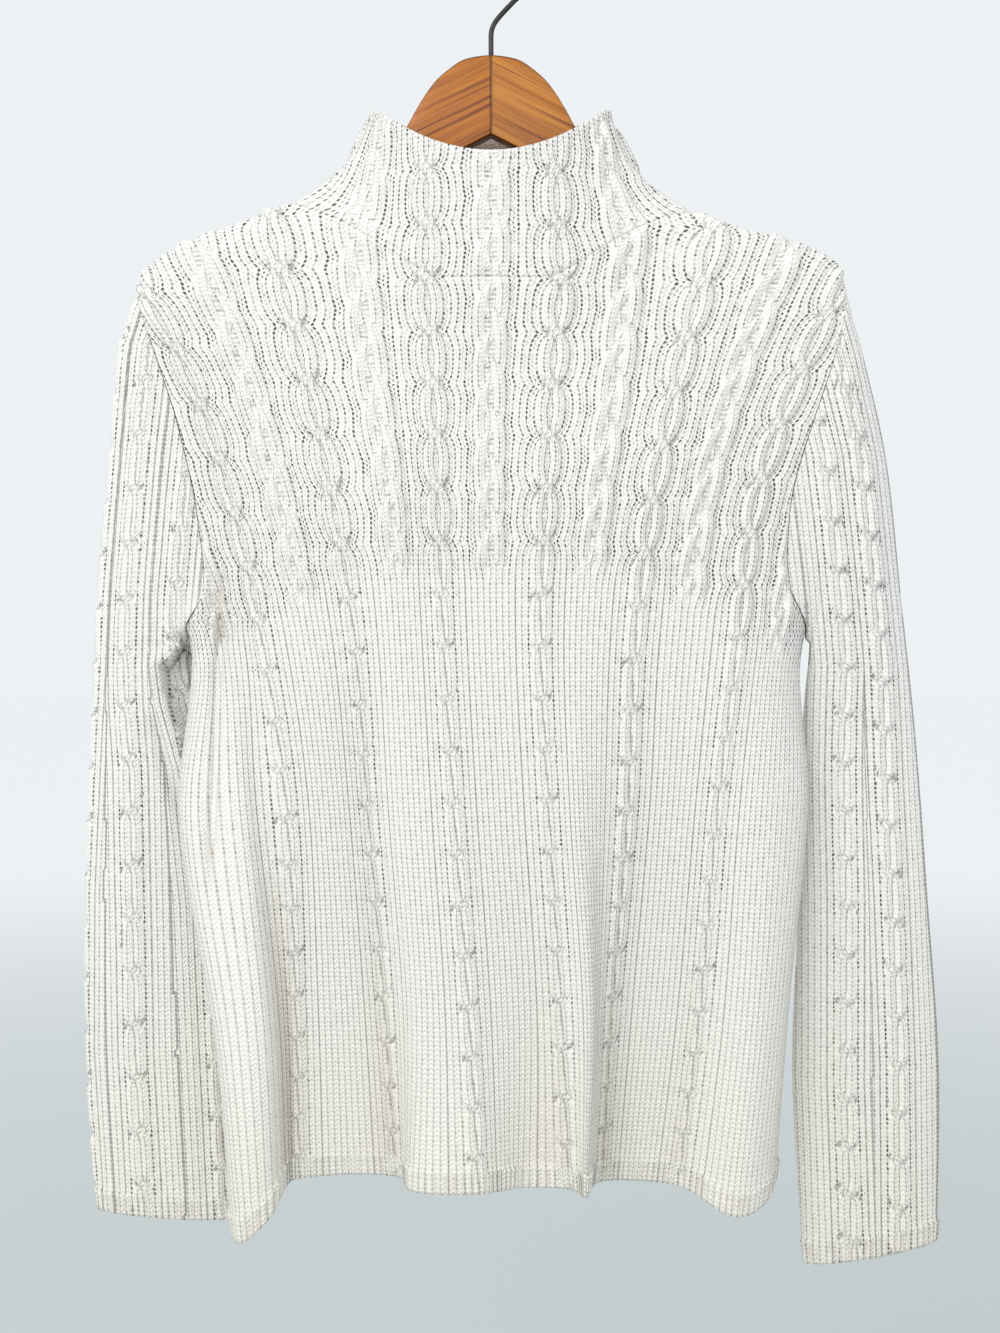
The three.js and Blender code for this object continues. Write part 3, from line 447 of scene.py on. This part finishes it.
def edge_band(from_edge, across):
    """Height and painted shade of a turned edge band at distances from the edge and along it: small ribs with
    painted shade in the valleys between them, then a rolled line where the band ends."""
    wave = np.cos(2 * np.pi * across / RIB)
    band = smooth(from_edge / 3) * smooth((BAND - from_edge) / 2.5)
    roll = np.exp(-((from_edge - ROLL) / 1.8) ** 2) * (0.8 + 0.35 * wave)
    return band * (0.6 + 0.6 * wave) + roll, 0.25 * band * smooth(-wave) * (from_edge < 11)


def panel(name, folds, side, steps):
    """One body panel with its cables, its hem band and its turned edges."""
    w, q = panel_grid(*steps)
    base = panel_point(folds, side, w, q)
    half = half_width(q)
    edge = (half - np.abs(w)) * COLUMN
    up_from_hem = (q + 1) * BELOW_ARMPIT
    down_from_top = (1 - q) * ABOVE_ARMPIT
    h, u, gap_shade, beside, yoke = cable_relief(w, base[..., 2])
    keep = smooth(edge / 5) * smooth((up_from_hem - 12) / 4) * smooth(down_from_top / 4)
    turned, rib_shade = edge_band(up_from_hem, w * COLUMN)
    h = h * keep + turned - 0.35 * (1 - smooth(edge / 2.5)) * (q > -0.96)
    ways = [np.clip(w + k, -half, half) for k in (-0.9, -0.45, 0.45, 0.9)]
    around = sum(panel_point(folds, side, k, q)[..., 1] for k in ways) / 4
    # Painted shade: the cloth is darkened where it lies back behind the cloth a column or so to each side, in the
    # fold valleys.
    painted_shade = 0.28 * np.clip(side * (base[..., 1] - around) / 9, 0, 1) ** 1.6 * keep
    painted_shade = painted_shade + rib_shade
    if side > 0:
        x, z = base[..., 0], base[..., 2]
        tuck = np.exp(-((x - np.interp(-z, [395, 420, 530, 590], [-164, -166, -167, -169])) / 3.6) ** 2)
        tuck *= smooth((-392 - z) / 25) * smooth((z + 610) / 50)
        # The tuck is a real groove, and painted shade darkens it.
        h, painted_shade = h - 3 * tuck, painted_shade + 0.3 * tuck
    points, normals = lay_relief(base, side * h)
    if side < 0:
        points[:, [0, -1], 1] += 0.3
    marks = {"gap_shade": gap_shade, "beside": beside, "yoke": yoke, "painted_shade": painted_shade}
    return cloth_piece(name, points, side * normals, base, False, side < 0,
                       np.stack([u, base[..., 2] / COURSE], -1), marks)


front = panel("front_panel_knit", front_folds, 1, (156, 100, 12))
finish_cloth(front, "front_panel")

# The back panel is knitted like the front. It hangs flatter, and by the wearer's right side it lies forward,
# because the sleeve hangs behind it there.
back_folds = np.array([
    [-7.6, -154, -165, -189, -188, -242, -281, -340, 16, 14, 8, -2, -4, -4, -8],
    [-7.2, -153, -164, -188, -188, -229, -267, -325, 4, 5, 3, -9, -6, -6, -9],
    [-6.4, -141, -152, -171, -175, -204, -240, -295, -12, 0, 0, -17, -13, -14, -16],
    [-5.0, -112, -122, -134, -140, -159, -188, -237, -30, -18, -15, -24, -19, -17, -17],
    [-2.5, -55, -58, -64, -68, -80, -96, -110, -16, -18, -20, -23, -20, -18, -18],
    [0.0, 12, 10, 8, 6, 2, 2, 2, -40, -34, -28, -25, -21, -20, -20],
    [2.5, 68, 70, 74, 76, 81, 96, 108, -18, -20, -22, -23, -20, -18, -18],
    [5.0, 128, 134, 142, 148, 162, 191, 235, -40, -34, -28, -24, -19, -17, -17],
    [6.6, 165, 172, 182, 186, 211, 253, 298, -24, -21, -19, -17, -12, -14, -16],
    [7.2, 175, 183, 195, 195.2, 229, 275, 320, -4, -5, -7, -10, -6, -6, -9],
    [7.6, 176, 185, 198, 196.2, 241, 292, 335, 12, 10, 6, -2, 0, -4, -8]])
back = panel("back_panel_knit", back_folds, -1, (128, 84, 12))
finish_cloth(back, "back_panel")

# The two sleeves are knitted tubes set into the armholes, each with four rope cables down its length.
# They hang flat at the sides; the one on the left tucks a little behind the body's side fold.
# A row per section: v down the sleeve, outer end x and z, inner end x and z, middle f, half depth.
right_sleeve = np.array([
    [0, -219, -228, -188, -443, 0, 12], [0.036, -224, -243, -191.4, -446.5, -1, 14],
    [0.08, -230, -262, -191.6, -450, -2, 17], [0.2, -238, -330, -191.5, -460, -6, 19],
    [0.34, -247, -418, -189, -482, -12, 17], [0.48, -252, -502, -178, -524, -16, 14],
    [0.65, -256, -602, -168, -608, -17, 13], [0.82, -256, -703, -163, -706, -17, 13],
    [1, -250, -804, -158, -810, -17, 12]])
left_sleeve = np.array([
    [0, 221, -227, 196, -443, 0, 12], [0.036, 225, -243, 199.6, -446.5, -1, 14],
    [0.08, 231, -262, 199.6, -450, -2, 17], [0.2, 248, -330, 199.5, -460, -6, 19],
    [0.34, 259, -418, 198, -482, -11, 17], [0.48, 269, -502, 196, -524, -15, 14],
    [0.65, 277, -608, 195, -608, -15, 14], [0.82, 284, -712, 191, -718, -15, 14],
    [1, 283, -823, 198, -838, -15, 13]])
FREE = 460  # mm down, where the sleeves are clear of their armholes
SLEEVE_WALE, SLEEVE_CABLE_HALF = 0.12, 0.232  # in knit columns, as on the body
# The cables' places as shares of the flat width, 0 at the outer fold and 1 at the inner one, then 2 all round.
sleeve_cables = {-1: np.array([0.36, 0.89, 1.42, 1.95]), 1: np.array([0.32, 0.66, 1.36, 1.72])}


def armhole(sign, a):
    """Point of the armhole edge: down the front panel's edge for a from 0 to 1, up the back's from 1 to 2."""
    q = (1 + np.cos(np.pi * a)) / 2
    w = sign * half_width(q)
    return np.where((a <= 1)[..., None], panel_point(front_folds, 1, w, q), panel_point(back_folds, -1, w, q))


def sleeve_point(table, sign, a, v):
    """Point of a sleeve: a flat oval from the outer to the inner end of its section, which near the armhole
    is moved by the difference between the armhole edge and the first oval."""
    at = lambda k: curve(table[:, 0], table[:, k], v)
    angle = np.pi * a
    u = (1 - np.cos(angle)) / 2
    oval = np.stack([mix(at(1), at(3), u), -(at(5) + at(6) * np.sin(angle)), mix(at(2), at(4), u)], -1)
    first = table[0]
    start = np.stack([mix(first[1], first[3], u), -(first[5] + first[6] * np.sin(angle)),
                      mix(first[2], first[4], u)], -1)
    near = 1 - smooth(v / (0.06 + 0.18 * (1 - u)))
    return oval + (armhole(sign, a % 2) - start) * near[..., None]


def sleeve(name, node, table, sign):
    """One sleeve with its four cables and its cuff band. Its wales run straight up beside the outer fold and
    end one by one at the armhole, so a wale is known by its distance from that fold."""
    cables = sleeve_cables[sign]
    lines = []
    for k, c in enumerate(cables):
        after = cables[(k + 1) % 4] + (2 if k == 3 else 0)
        lines += [np.linspace(c - 0.05, c + 0.05, 14, endpoint=False),
                  np.linspace(c + 0.05, after - 0.05, 26 if k < 3 else 22, endpoint=False)]
    share = np.concatenate(lines)
    share = np.sort(np.append(share % 2, [0, 2]))[:161]
    share[-1] = 2
    along = np.linspace(0, 1, 400)
    arc = np.cumsum(np.hypot(75 * np.sin(np.pi * along), 14 * np.cos(np.pi * along)))
    arc = (arc - arc[0]) / (arc[-1] - arc[0])
    ring = np.where(share <= 1, np.interp(share, arc, along), 1 + np.interp(share - 1, arc, along))
    a, v = np.meshgrid(ring, np.linspace(0.0015, 1, 297))
    base = sleeve_point(table, sign, a, v)
    down_z = -base[..., 2]
    outer = np.interp(down_z, -table[:, 2], np.abs(table[:, 1]))
    inner = np.interp(down_z, -table[3:, 4], np.abs(table[3:, 3]))
    full = np.interp(FREE, -table[:, 2], np.abs(table[:, 1])) - abs(table[3, 3])
    wide = np.where(down_z < FREE, full, outer - inner)
    lies = (outer - np.abs(base[..., 0])) / wide
    lies = np.interp(lies, (1 - np.cos(np.pi * along)) / 2, arc) + np.maximum(lies - 1, 0)
    flat = np.where(a <= 1, lies, 2 - lies)
    painted_shade = 0 * a
    if sign < 0:
        x, z = base[..., 0], base[..., 2]
        line = np.interp(-z, [438, 441, 452, 461, 475, 495, 510, 520, 530],
                         [-186, -189.5, -200.6, -207.5, -205.6, -200.6, -194.4, -191.5, -184])
        lap = np.interp(-z, [480, 506, 537, 557, 590], [-214, -209, -200, -191, -186])
        front_half = (a <= 1) * smooth((1 - a) / 0.02)
        sunk = smooth((x - line) / 3.5) * smooth((-438 - z) / 3) * (z > -530) * front_half
        beside_lap = np.exp(-((x - lap) / 4.5) ** 2) * smooth((-485 - z) / 15) * smooth((z + 575) / 20) * front_half
        roll = np.exp(-((x - line + 5) / 5) ** 2) * smooth((-446 - z) / 12) * smooth((z + 545) / 20) * front_half
        base[..., 1] += 15 * sunk + 3.5 * beside_lap - 2.5 * roll
        # The pocket under this arm is sunk into the cloth. Painted shade darkens it, most at its top, and darkens
        # the valley beside the lap.
        painted_shade = sunk * np.clip(0.12 + 0.88 * np.exp(-((z + 440) / 10) ** 2), 0, 1) + 0.15 * beside_lap
    length = np.cumsum(np.linalg.norm(np.diff(base[:, 30], axis=0), axis=-1))
    down = np.concatenate([[0], length])[:, None] + 0 * a
    apart = (flat[..., None] - cables + 1) % 2 - 1
    nearest = np.argmin(np.abs(apart), -1)
    d = np.take_along_axis(apart, nearest[..., None], -1)[..., 0] * wide / COLUMN
    first, step = (316.6, 33.4) if sign < 0 else (348.7, 30)
    turn = (down_z - first + 9 * nearest) / step
    up, over, reach = rope(d, turn, r=0.118, swing=0.114, sharp=0.08, high=2.6)
    beside = (np.abs(d) - SLEEVE_CABLE_HALF) / SLEEVE_WALE
    crossing = np.exp(-(np.sin(np.pi * turn) / 0.32) ** 2)
    near = np.abs(d) < reach
    h = np.where(near, np.maximum(up, -0.3), -0.45 * np.exp(-((beside - 1.1) / 0.35) ** 2))
    u = np.where(near, np.where(up > -0.4, over, 0), np.sign(d) * (2.5 + beside)) + 0.5
    # gap_shade is painted shade in the gaps between stitches, beside the crossings and along the cables' edges.
    gap_shade = np.where(near, np.where(up > 0.2, 0.3 * (1 - crossing), 0.7),
                    0.35 + crossing * np.exp(-((beside - 0.3) / 0.7) ** 2) * 0.5)
    gap_shade = gap_shade + 0.5 * np.exp(-((np.abs(d) - SLEEVE_CABLE_HALF) / 0.045) ** 2)
    left = down[-1:] - down
    keep = smooth(down / 5) * smooth((left - 12) / 4)
    calm = 1 - smooth((0.32 - np.abs((a + 0.5) % 2 - 1.5)) / 0.1) * smooth((75 - down) / 25)
    keep, gap_shade = keep * calm, gap_shade * mix(0.4, 1, calm)
    turned, rib_shade = edge_band(left, flat * wide)
    h = h * keep + turned - 0.35 * (1 - smooth(down / 2.5))
    painted_shade = painted_shade + rib_shade
    points, normals = lay_relief(base, sign * h)
    piece = cloth_piece(name, points, sign * normals, base, True, sign < 0, np.stack([u, -down_z / COURSE], -1),
                        {"gap_shade": gap_shade, "beside": beside + 0.9, "yoke": 0 * gap_shade, "painted_shade": painted_shade})
    finish_cloth(piece, node)


sleeve("sleeve_right_knit", "sleeve_right", right_sleeve, -1)
sleeve("sleeve_left_knit", "sleeve_left", left_sleeve, 1)

# The mock neck collar is a band of the same knitting, joined round the neck and standing up by its own body.
# Its cables and plaits carry on those of the panels, and its top edge is turned in.
COLLAR_TOP, FRONT_DIP, BACK_DIP = -113, 35, 8
COLLAR_HALF, FRONT_OUT, BACK_OUT = 73, 34, 30  # the top oval's half width and its reach each way


def neck_edge(a):
    """Point of the neck edge: over the front for a from 0 to 1, back round for a from 1 to 2."""
    a = a % 2
    w = np.where(a <= 1, mix(-NECK, NECK, a), mix(NECK, -NECK, a - 1))
    one = np.ones_like(w)
    return np.where((a <= 1)[..., None], panel_point(front_folds, 1, w, one), panel_point(back_folds, -1, w, one))


def collar():
    """Each upright line runs from the neck edge to the oval top edge, quickly inward at first, then straight."""
    a, s = np.meshgrid(np.linspace(0, 2, 265), np.linspace(0, 1, 45))
    base = neck_edge(a)
    sin, cos = np.sin(np.pi * a), np.cos(np.pi * a)
    top_z = COLLAR_TOP - np.where(sin > 0, FRONT_DIP * np.abs(sin) ** 1.9, BACK_DIP * sin**2)
    flare = 0.38 * (1 - s) ** 6 + 0.62 * (1 - s)
    top_f = np.where(sin > 0, FRONT_OUT, BACK_OUT) * sin
    points = np.stack([mix(-COLLAR_HALF * cos, base[..., 0], flare), mix(base[..., 1], -top_f, s),
                       mix(base[..., 2], top_z, s)], -1)
    w = np.where(a <= 1, mix(-NECK, NECK, a), mix(NECK, -NECK, a - 1))
    tall = np.linalg.norm(np.diff(points, axis=0), axis=-1).sum(0)[None]
    h, u, gap_shade, beside, yoke = cable_relief(w, points[..., 2])
    to_top = (1 - s) * tall
    keep = smooth(s * tall / 4) * smooth((to_top - 4) / 5)
    ribs = 0.45 * np.cos(2 * np.pi * w * 7.2)
    h = 0.7 * h * keep + (1.1 + ribs) * np.exp(-((to_top - 2.5) / 4) ** 2) - 0.35 * (1 - smooth(s * tall / 2.5))
    raised, normals = lay_relief(points, h)
    piece = cloth_piece("collar_knit", raised, normals, points, True, False,
                        np.stack([u, points[..., 2] / COURSE], -1),
                        {"gap_shade": gap_shade, "beside": beside, "yoke": yoke, "painted_shade": 0 * gap_shade})
    finish_cloth(piece, "collar")


collar()

# The hanger has two arms of stained, varnished wood, glued at a mitre in the middle.
# Their grain runs down along each arm, and their edges are rounded over. The arms end 0.04 mm apart at the glue.
arm_top = np.array([[0, -79], [9, -79.9], [18, -82.3], [26, -87.6], [34, -94.6], [40, -102.4], [46, -112],
                    [54, -126], [72, -147], [90, -165], [116, -185], [134, -191]])
arm_under = np.array([[0, -129], [60, -160], [120, -206], [170, -232], [194, -251], [203, -256]])
ARM_HALF, ARM_THICK, EDGE_ROUND = 203.0, 10.0, 1.9


def hanger_wood(name, sign):
    """Amber wood whose pattern is drawn out along the arm: broad soft bands under thin dark pore lines, with
    painted shade on the upper and lower faces and their rounded edges, and a dark glue line at the middle."""
    mat = bpy.data.materials.new(name)
    mat.use_nodes = True
    nodes, links = mat.node_tree.nodes, mat.node_tree.links
    shader = nodes["Principled BSDF"]
    place = nodes.new("ShaderNodeTexCoord").outputs["Object"]

    def streaks(along, over, detail, seed):
        turn = nodes.new("ShaderNodeMapping")
        turn.vector_type = "TEXTURE"
        turn.inputs["Location"].default_value = (seed, 0, 0)
        turn.inputs["Rotation"].default_value = (0, sign * 0.46, 0)
        turn.inputs["Scale"].default_value = (along, 0.05, over)
        links.new(place, turn.inputs["Vector"])
        noise = nodes.new("ShaderNodeTexNoise")
        noise.inputs["Scale"].default_value = 1.0
        noise.inputs["Detail"].default_value = detail
        noise.inputs["Roughness"].default_value = 0.6
        links.new(turn.outputs[0], noise.inputs["Vector"])
        return noise.outputs["Fac"]

    def ramp(source, stops):
        node = nodes.new("ShaderNodeValToRGB")
        for k, (at, colour) in enumerate(stops):
            stop = node.color_ramp.elements[k] if k < 2 else node.color_ramp.elements.new(at)
            stop.position, stop.color = at, (*colour, 1)
        links.new(source, node.inputs[0])
        return node.outputs[0]

    def times(first, second):
        node = nodes.new("ShaderNodeMix")
        node.data_type, node.blend_type = "RGBA", "MULTIPLY"
        node.inputs["Factor"].default_value = 1
        links.new(first, node.inputs[6])
        links.new(second, node.inputs[7])
        return node.outputs[2]

    # Painted light and shade: the two arms are the same wood, and the right arm's copy is painted darker than the
    # left's.
    light = (0.47, 0.155, 0.006) if sign < 0 else (0.50, 0.19, 0.020)
    deep = (0.30, 0.078, 0.002) if sign < 0 else (0.33, 0.098, 0.004)
    bands = ramp(streaks(0.11, 0.0042, 2, 0.0), [(0.36, deep), (0.62, light)])
    pores = ramp(streaks(0.16, 0.0017, 3, 0.4), [(0.34, (0.42, 0.30, 0.22)), (0.43, (1, 1, 1))])
    fine = ramp(streaks(0.05, 0.0006, 1, 0.9), [(0.3, (0.84, 0.80, 0.74)), (0.6, (1, 1, 1))])
    # glue_and_shade darkens the wood: painted shade on the upper and lower faces and their rounded edges, and the
    # real dark glue line at the middle.
    glue_and_shade = nodes.new("ShaderNodeAttribute")
    glue_and_shade.attribute_name = "glue_and_shade"
    shade = ramp(glue_and_shade.outputs["Fac"], [(0.0, (1, 1, 1)), (1.0, (0.10, 0.05, 0.03))])
    links.new(times(times(times(bands, pores), fine), shade), shader.inputs["Base Color"])
    shader.inputs["Roughness"].default_value = 0.42
    shader.inputs["Specular IOR Level"].default_value = 0.3
    shader.inputs["Coat Weight"].default_value = 0.12
    shader.inputs["Coat Roughness"].default_value = 0.15
    return mat


def hanger_arm(name, node, sign):
    """A rounded rectangle carried along the arm: its top follows the arched edge and then the shoulder line a
    few mm under the cloth, its underside is a bent line, and the tip closes as half an ellipse."""
    x = np.concatenate([[0.02, 0.5], np.linspace(1.4, 60, 44), np.linspace(62, 190, 44),
                        190 + (ARM_HALF - 190.02) * np.sin(np.linspace(0.1, np.pi / 2, 12))])
    w = sign * np.linspace(NECK, 5.15, 60)
    ridge = panel_point(front_folds, 1, w, np.ones(60))
    below = np.interp(np.abs(ridge[:, 0]), [134, 155, 170, 185, 196], [3.4, 3.5, 3.7, 4.3, 4.9])
    knots = np.array([155, 170, 185, 196, ARM_HALF])
    shoulder = np.interp(knots, np.abs(ridge[:, 0]), ridge[:, 2] - below)
    rises = arm_top[:, 1] - np.where((sign > 0) & (arm_top[:, 0] > 100), 3, 0)
    top = curve(np.append(arm_top[:, 0], knots), np.append(rises, shoulder), x)
    under = np.interp(x, arm_under[:, 0], arm_under[:, 1])
    close = np.sqrt(np.clip(1 - (np.maximum(x - 190, 0) / (ARM_HALF - 190)) ** 2, 0.0004, 1))
    middle, tall = (top + under) / 2, (top - under) / 2 * close
    thick = ARM_THICK / 2 * np.sqrt(close)
    r = np.minimum(EDGE_ROUND, 0.9 * np.minimum(tall, thick))
    k = np.arange(32)
    angle = (k // 8) * np.pi / 2 + (k % 8) / 7 * np.pi / 2
    side_y = np.where((k // 8 == 0) | (k // 8 == 3), 1, -1)
    side_z = np.where(k // 8 < 2, 1, -1)
    y = side_y * (thick - r)[:, None] + r[:, None] * np.cos(angle)
    z = middle[:, None] + side_z * (tall - r)[:, None] + r[:, None] * np.sin(angle)
    points = np.stack([np.broadcast_to(sign * x[:, None], y.shape), y, z], -1)
    ring = np.arange(len(x) * 32).reshape(len(x), 32)
    after = np.roll(ring, -1, axis=1)
    quads = np.stack([ring[:-1], after[:-1], after[1:], ring[1:]], -1).reshape(-1, 4)
    faces = [*(quads if sign < 0 else quads[:, ::-1]).tolist(),
             (ring[0] if sign > 0 else ring[0][::-1]).tolist(), (ring[-1][::-1] if sign > 0 else ring[-1]).tolist()]
    mesh = bpy.data.meshes.new(name)
    mesh.from_pydata((points.reshape(-1, 3) / 1000).tolist(), [], faces)
    mesh.polygons.foreach_set("use_smooth", np.r_[np.ones(len(quads), bool), False, True])
    # Painted shade on the faces that look up and down and on their rounded edges, and the dark glue line in the
    # first two rings.
    glue_and_shade_share = np.clip(2.2 * np.abs(np.sin(angle)) - 0.5, 0, 0.85)
    glue_and_shade_share = np.maximum(np.broadcast_to(glue_and_shade_share, y.shape), 0.6 * (x < 0.6)[:, None])
    mesh.attributes.new("glue_and_shade", "FLOAT", "POINT").data.foreach_set(
        "value", np.clip(glue_and_shade_share, 0, 1).astype(np.float32).reshape(-1))
    mesh.materials.append(hanger_wood(name + "_wood", sign))
    piece = bpy.data.objects.new(name, mesh)
    bpy.context.scene.collection.objects.link(piece)
    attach(piece, "root")
    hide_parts(node)


hanger_arm("hanger_arm_right_wood", "hanger_arm_right", -1)
hanger_arm("hanger_arm_left_wood", "hanger_arm_left", 1)

# The hook is one length of dark steel wire, 3.2 mm thick, driven down between the arms. It rises, leans to the
# right and turns back over in an open loop that hangs on the rail, and its end is rounded off.
WIRE, LOOP = 1.6, 25.0


def hook():
    """Round wire carried along a path: straight up, a cubic bend, then 255 degrees of the loop's circle. Each
    ring is square to the path, and the last ones shrink as a quarter circle does."""
    rise = np.linspace(-108.6, -66.0, 12, endpoint=False)
    t = np.linspace(0, 1, 24, endpoint=False)[:, None]
    start, lean, pull = np.array([[0, -66.0], [0, -58.0], [5, -54.0]])
    turn = np.radians(np.linspace(-53, 202, 96))
    loop = np.stack([LOOP * np.cos(turn), WIRE - LOOP + LOOP * np.sin(turn)], -1)
    bend = (1 - t) ** 3 * start + 3 * (1 - t) ** 2 * t * lean + 3 * (1 - t) * t**2 * pull + t**3 * loop[0]
    path = np.concatenate([np.stack([0 * rise, rise], -1), bend, loop])
    ahead = np.gradient(path, axis=0)
    ahead /= np.linalg.norm(ahead, axis=1, keepdims=True)
    cap = np.linspace(0, 1, 7)[1:-1]
    path = np.concatenate([path, path[-1] + WIRE * cap[:, None] * ahead[-1]])
    ahead = np.concatenate([ahead, np.repeat(ahead[-1:], len(cap), 0)])
    radius = np.concatenate([np.full(len(path) - len(cap), WIRE), WIRE * np.sqrt(1 - cap**2)])[:, None]
    around = np.linspace(0, 2 * np.pi, 20, endpoint=False)
    out, side = radius * np.cos(around), radius * np.sin(around)
    points = np.stack([path[:, :1] - ahead[:, 1:] * out, side, path[:, 1:] + ahead[:, :1] * out], -1)
    ring = np.arange(len(path) * 20).reshape(-1, 20)
    after = np.roll(ring, -1, axis=1)
    quads = np.stack([ring[:-1], ring[1:], after[1:], after[:-1]], -1).reshape(-1, 4)
    mesh = bpy.data.meshes.new("hook_wire")
    mesh.from_pydata((points.reshape(-1, 3) / 1000).tolist(), [],
                     [*quads.tolist(), ring[0].tolist(), ring[-1][::-1].tolist()])
    mesh.polygons.foreach_set("use_smooth", np.ones(len(mesh.polygons), bool))
    wire = bpy.data.materials.new("dark_wire")
    wire.use_nodes = True
    shader = wire.node_tree.nodes["Principled BSDF"]
    rub = wire.node_tree.nodes.new("ShaderNodeTexNoise")
    rub.inputs["Scale"].default_value = 240
    tint = wire.node_tree.nodes.new("ShaderNodeValToRGB")
    tint.color_ramp.elements[0].position, tint.color_ramp.elements[0].color = 0.4, (0.010, 0.010, 0.011, 1)
    tint.color_ramp.elements[1].position, tint.color_ramp.elements[1].color = 0.75, (0.035, 0.033, 0.031, 1)
    place = wire.node_tree.nodes.new("ShaderNodeTexCoord").outputs["Object"]
    wire.node_tree.links.new(place, rub.inputs["Vector"])
    wire.node_tree.links.new(rub.outputs["Fac"], tint.inputs[0])
    wire.node_tree.links.new(tint.outputs[0], shader.inputs["Base Color"])
    shader.inputs["Roughness"].default_value = 0.3
    shader.inputs["Specular IOR Level"].default_value = 0.4
    mesh.materials.append(wire)
    piece = bpy.data.objects.new("hook_wire", mesh)
    bpy.context.scene.collection.objects.link(piece)
    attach(piece, "root")
    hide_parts("hook")


hook()

# The room: a wide pale floor well below the hanging sweater, with a painted shadow round the spot under it, which
# fades into a pale wall far behind it, and soft daylight from all round with two large lamps from the front.
floor_mesh = bpy.data.meshes.new("floor")
reach, low = 60.0, -1.5
floor_mesh.from_pydata([(-reach, -reach, low), (reach, -reach, low), (reach, reach, low),
                        (-reach, reach, low)], [], [(0, 1, 2, 3)])
floor = bpy.data.objects.new("floor", floor_mesh)
bpy.context.scene.collection.objects.link(floor)
pale = bpy.data.materials.new("pale_floor")
pale.use_nodes = True
tree = pale.node_tree
tree.nodes.clear()
out = tree.nodes.new("ShaderNodeOutputMaterial")
matt = tree.nodes.new("ShaderNodeBsdfDiffuse")
tree.links.new(matt.outputs[0], out.inputs["Surface"])
place = tree.nodes.new("ShaderNodeTexCoord")
far = tree.nodes.new("ShaderNodeVectorMath")
far.operation = "LENGTH"
tree.links.new(place.outputs["Object"], far.inputs[0])
# Painted shadow: the floor is darkest under the sweater and fades to pale from 1.6 m to 8 m out.
shadow_fade = tree.nodes.new("ShaderNodeMapRange")
shadow_fade.interpolation_type = "SMOOTHSTEP"
shadow_fade.inputs["From Min"].default_value, shadow_fade.inputs["From Max"].default_value = 1.6, 8.0
tree.links.new(far.outputs["Value"], shadow_fade.inputs["Value"])
tone = tree.nodes.new("ShaderNodeValToRGB")
tone.color_ramp.elements[0].color = (0.60, 0.65, 0.65, 1)
tone.color_ramp.elements[1].color = (0.985, 0.99, 0.995, 1)
tree.links.new(shadow_fade.outputs[0], tone.inputs[0])
tree.links.new(tone.outputs[0], matt.inputs["Color"])
floor_mesh.materials.append(pale)
world = bpy.data.worlds.new("room")
bpy.context.scene.world = world
world.use_nodes = True
world.node_tree.nodes["Background"].inputs[0].default_value = (0.975, 1.0, 1.02, 1)
world.node_tree.nodes["Background"].inputs[1].default_value = 0.88
for name, at, turn, size, power in (
        ("key", (-1.1, -2.0, 0.6), (1.07, 0, -0.5), 1.3, 24), ("fill", (-0.1, -2.5, 0.3), (1.28, 0, 0), 1.8, 14)):
    lamp = bpy.data.lights.new(name, "AREA")
    lamp.energy, lamp.size, lamp.color = power, size, (1.0, 0.985, 0.955)
    lamp_object = bpy.data.objects.new(name, lamp)
    lamp_object.location, lamp_object.rotation_euler = at, turn
    bpy.context.scene.collection.objects.link(lamp_object)
camera = bpy.data.cameras.new("camera")
camera.lens, camera.sensor_width = 43.2, 36
camera.clip_start, camera.clip_end = 0.05, 60
camera_object = bpy.data.objects.new("camera", camera)
camera_object.location, camera_object.rotation_euler = (0.0056, -1.0, -0.46), (np.pi / 2, 0, 0)
bpy.context.scene.collection.objects.link(camera_object)
bpy.context.scene.camera = camera_object
bpy.context.scene.view_settings.view_transform = "Standard"
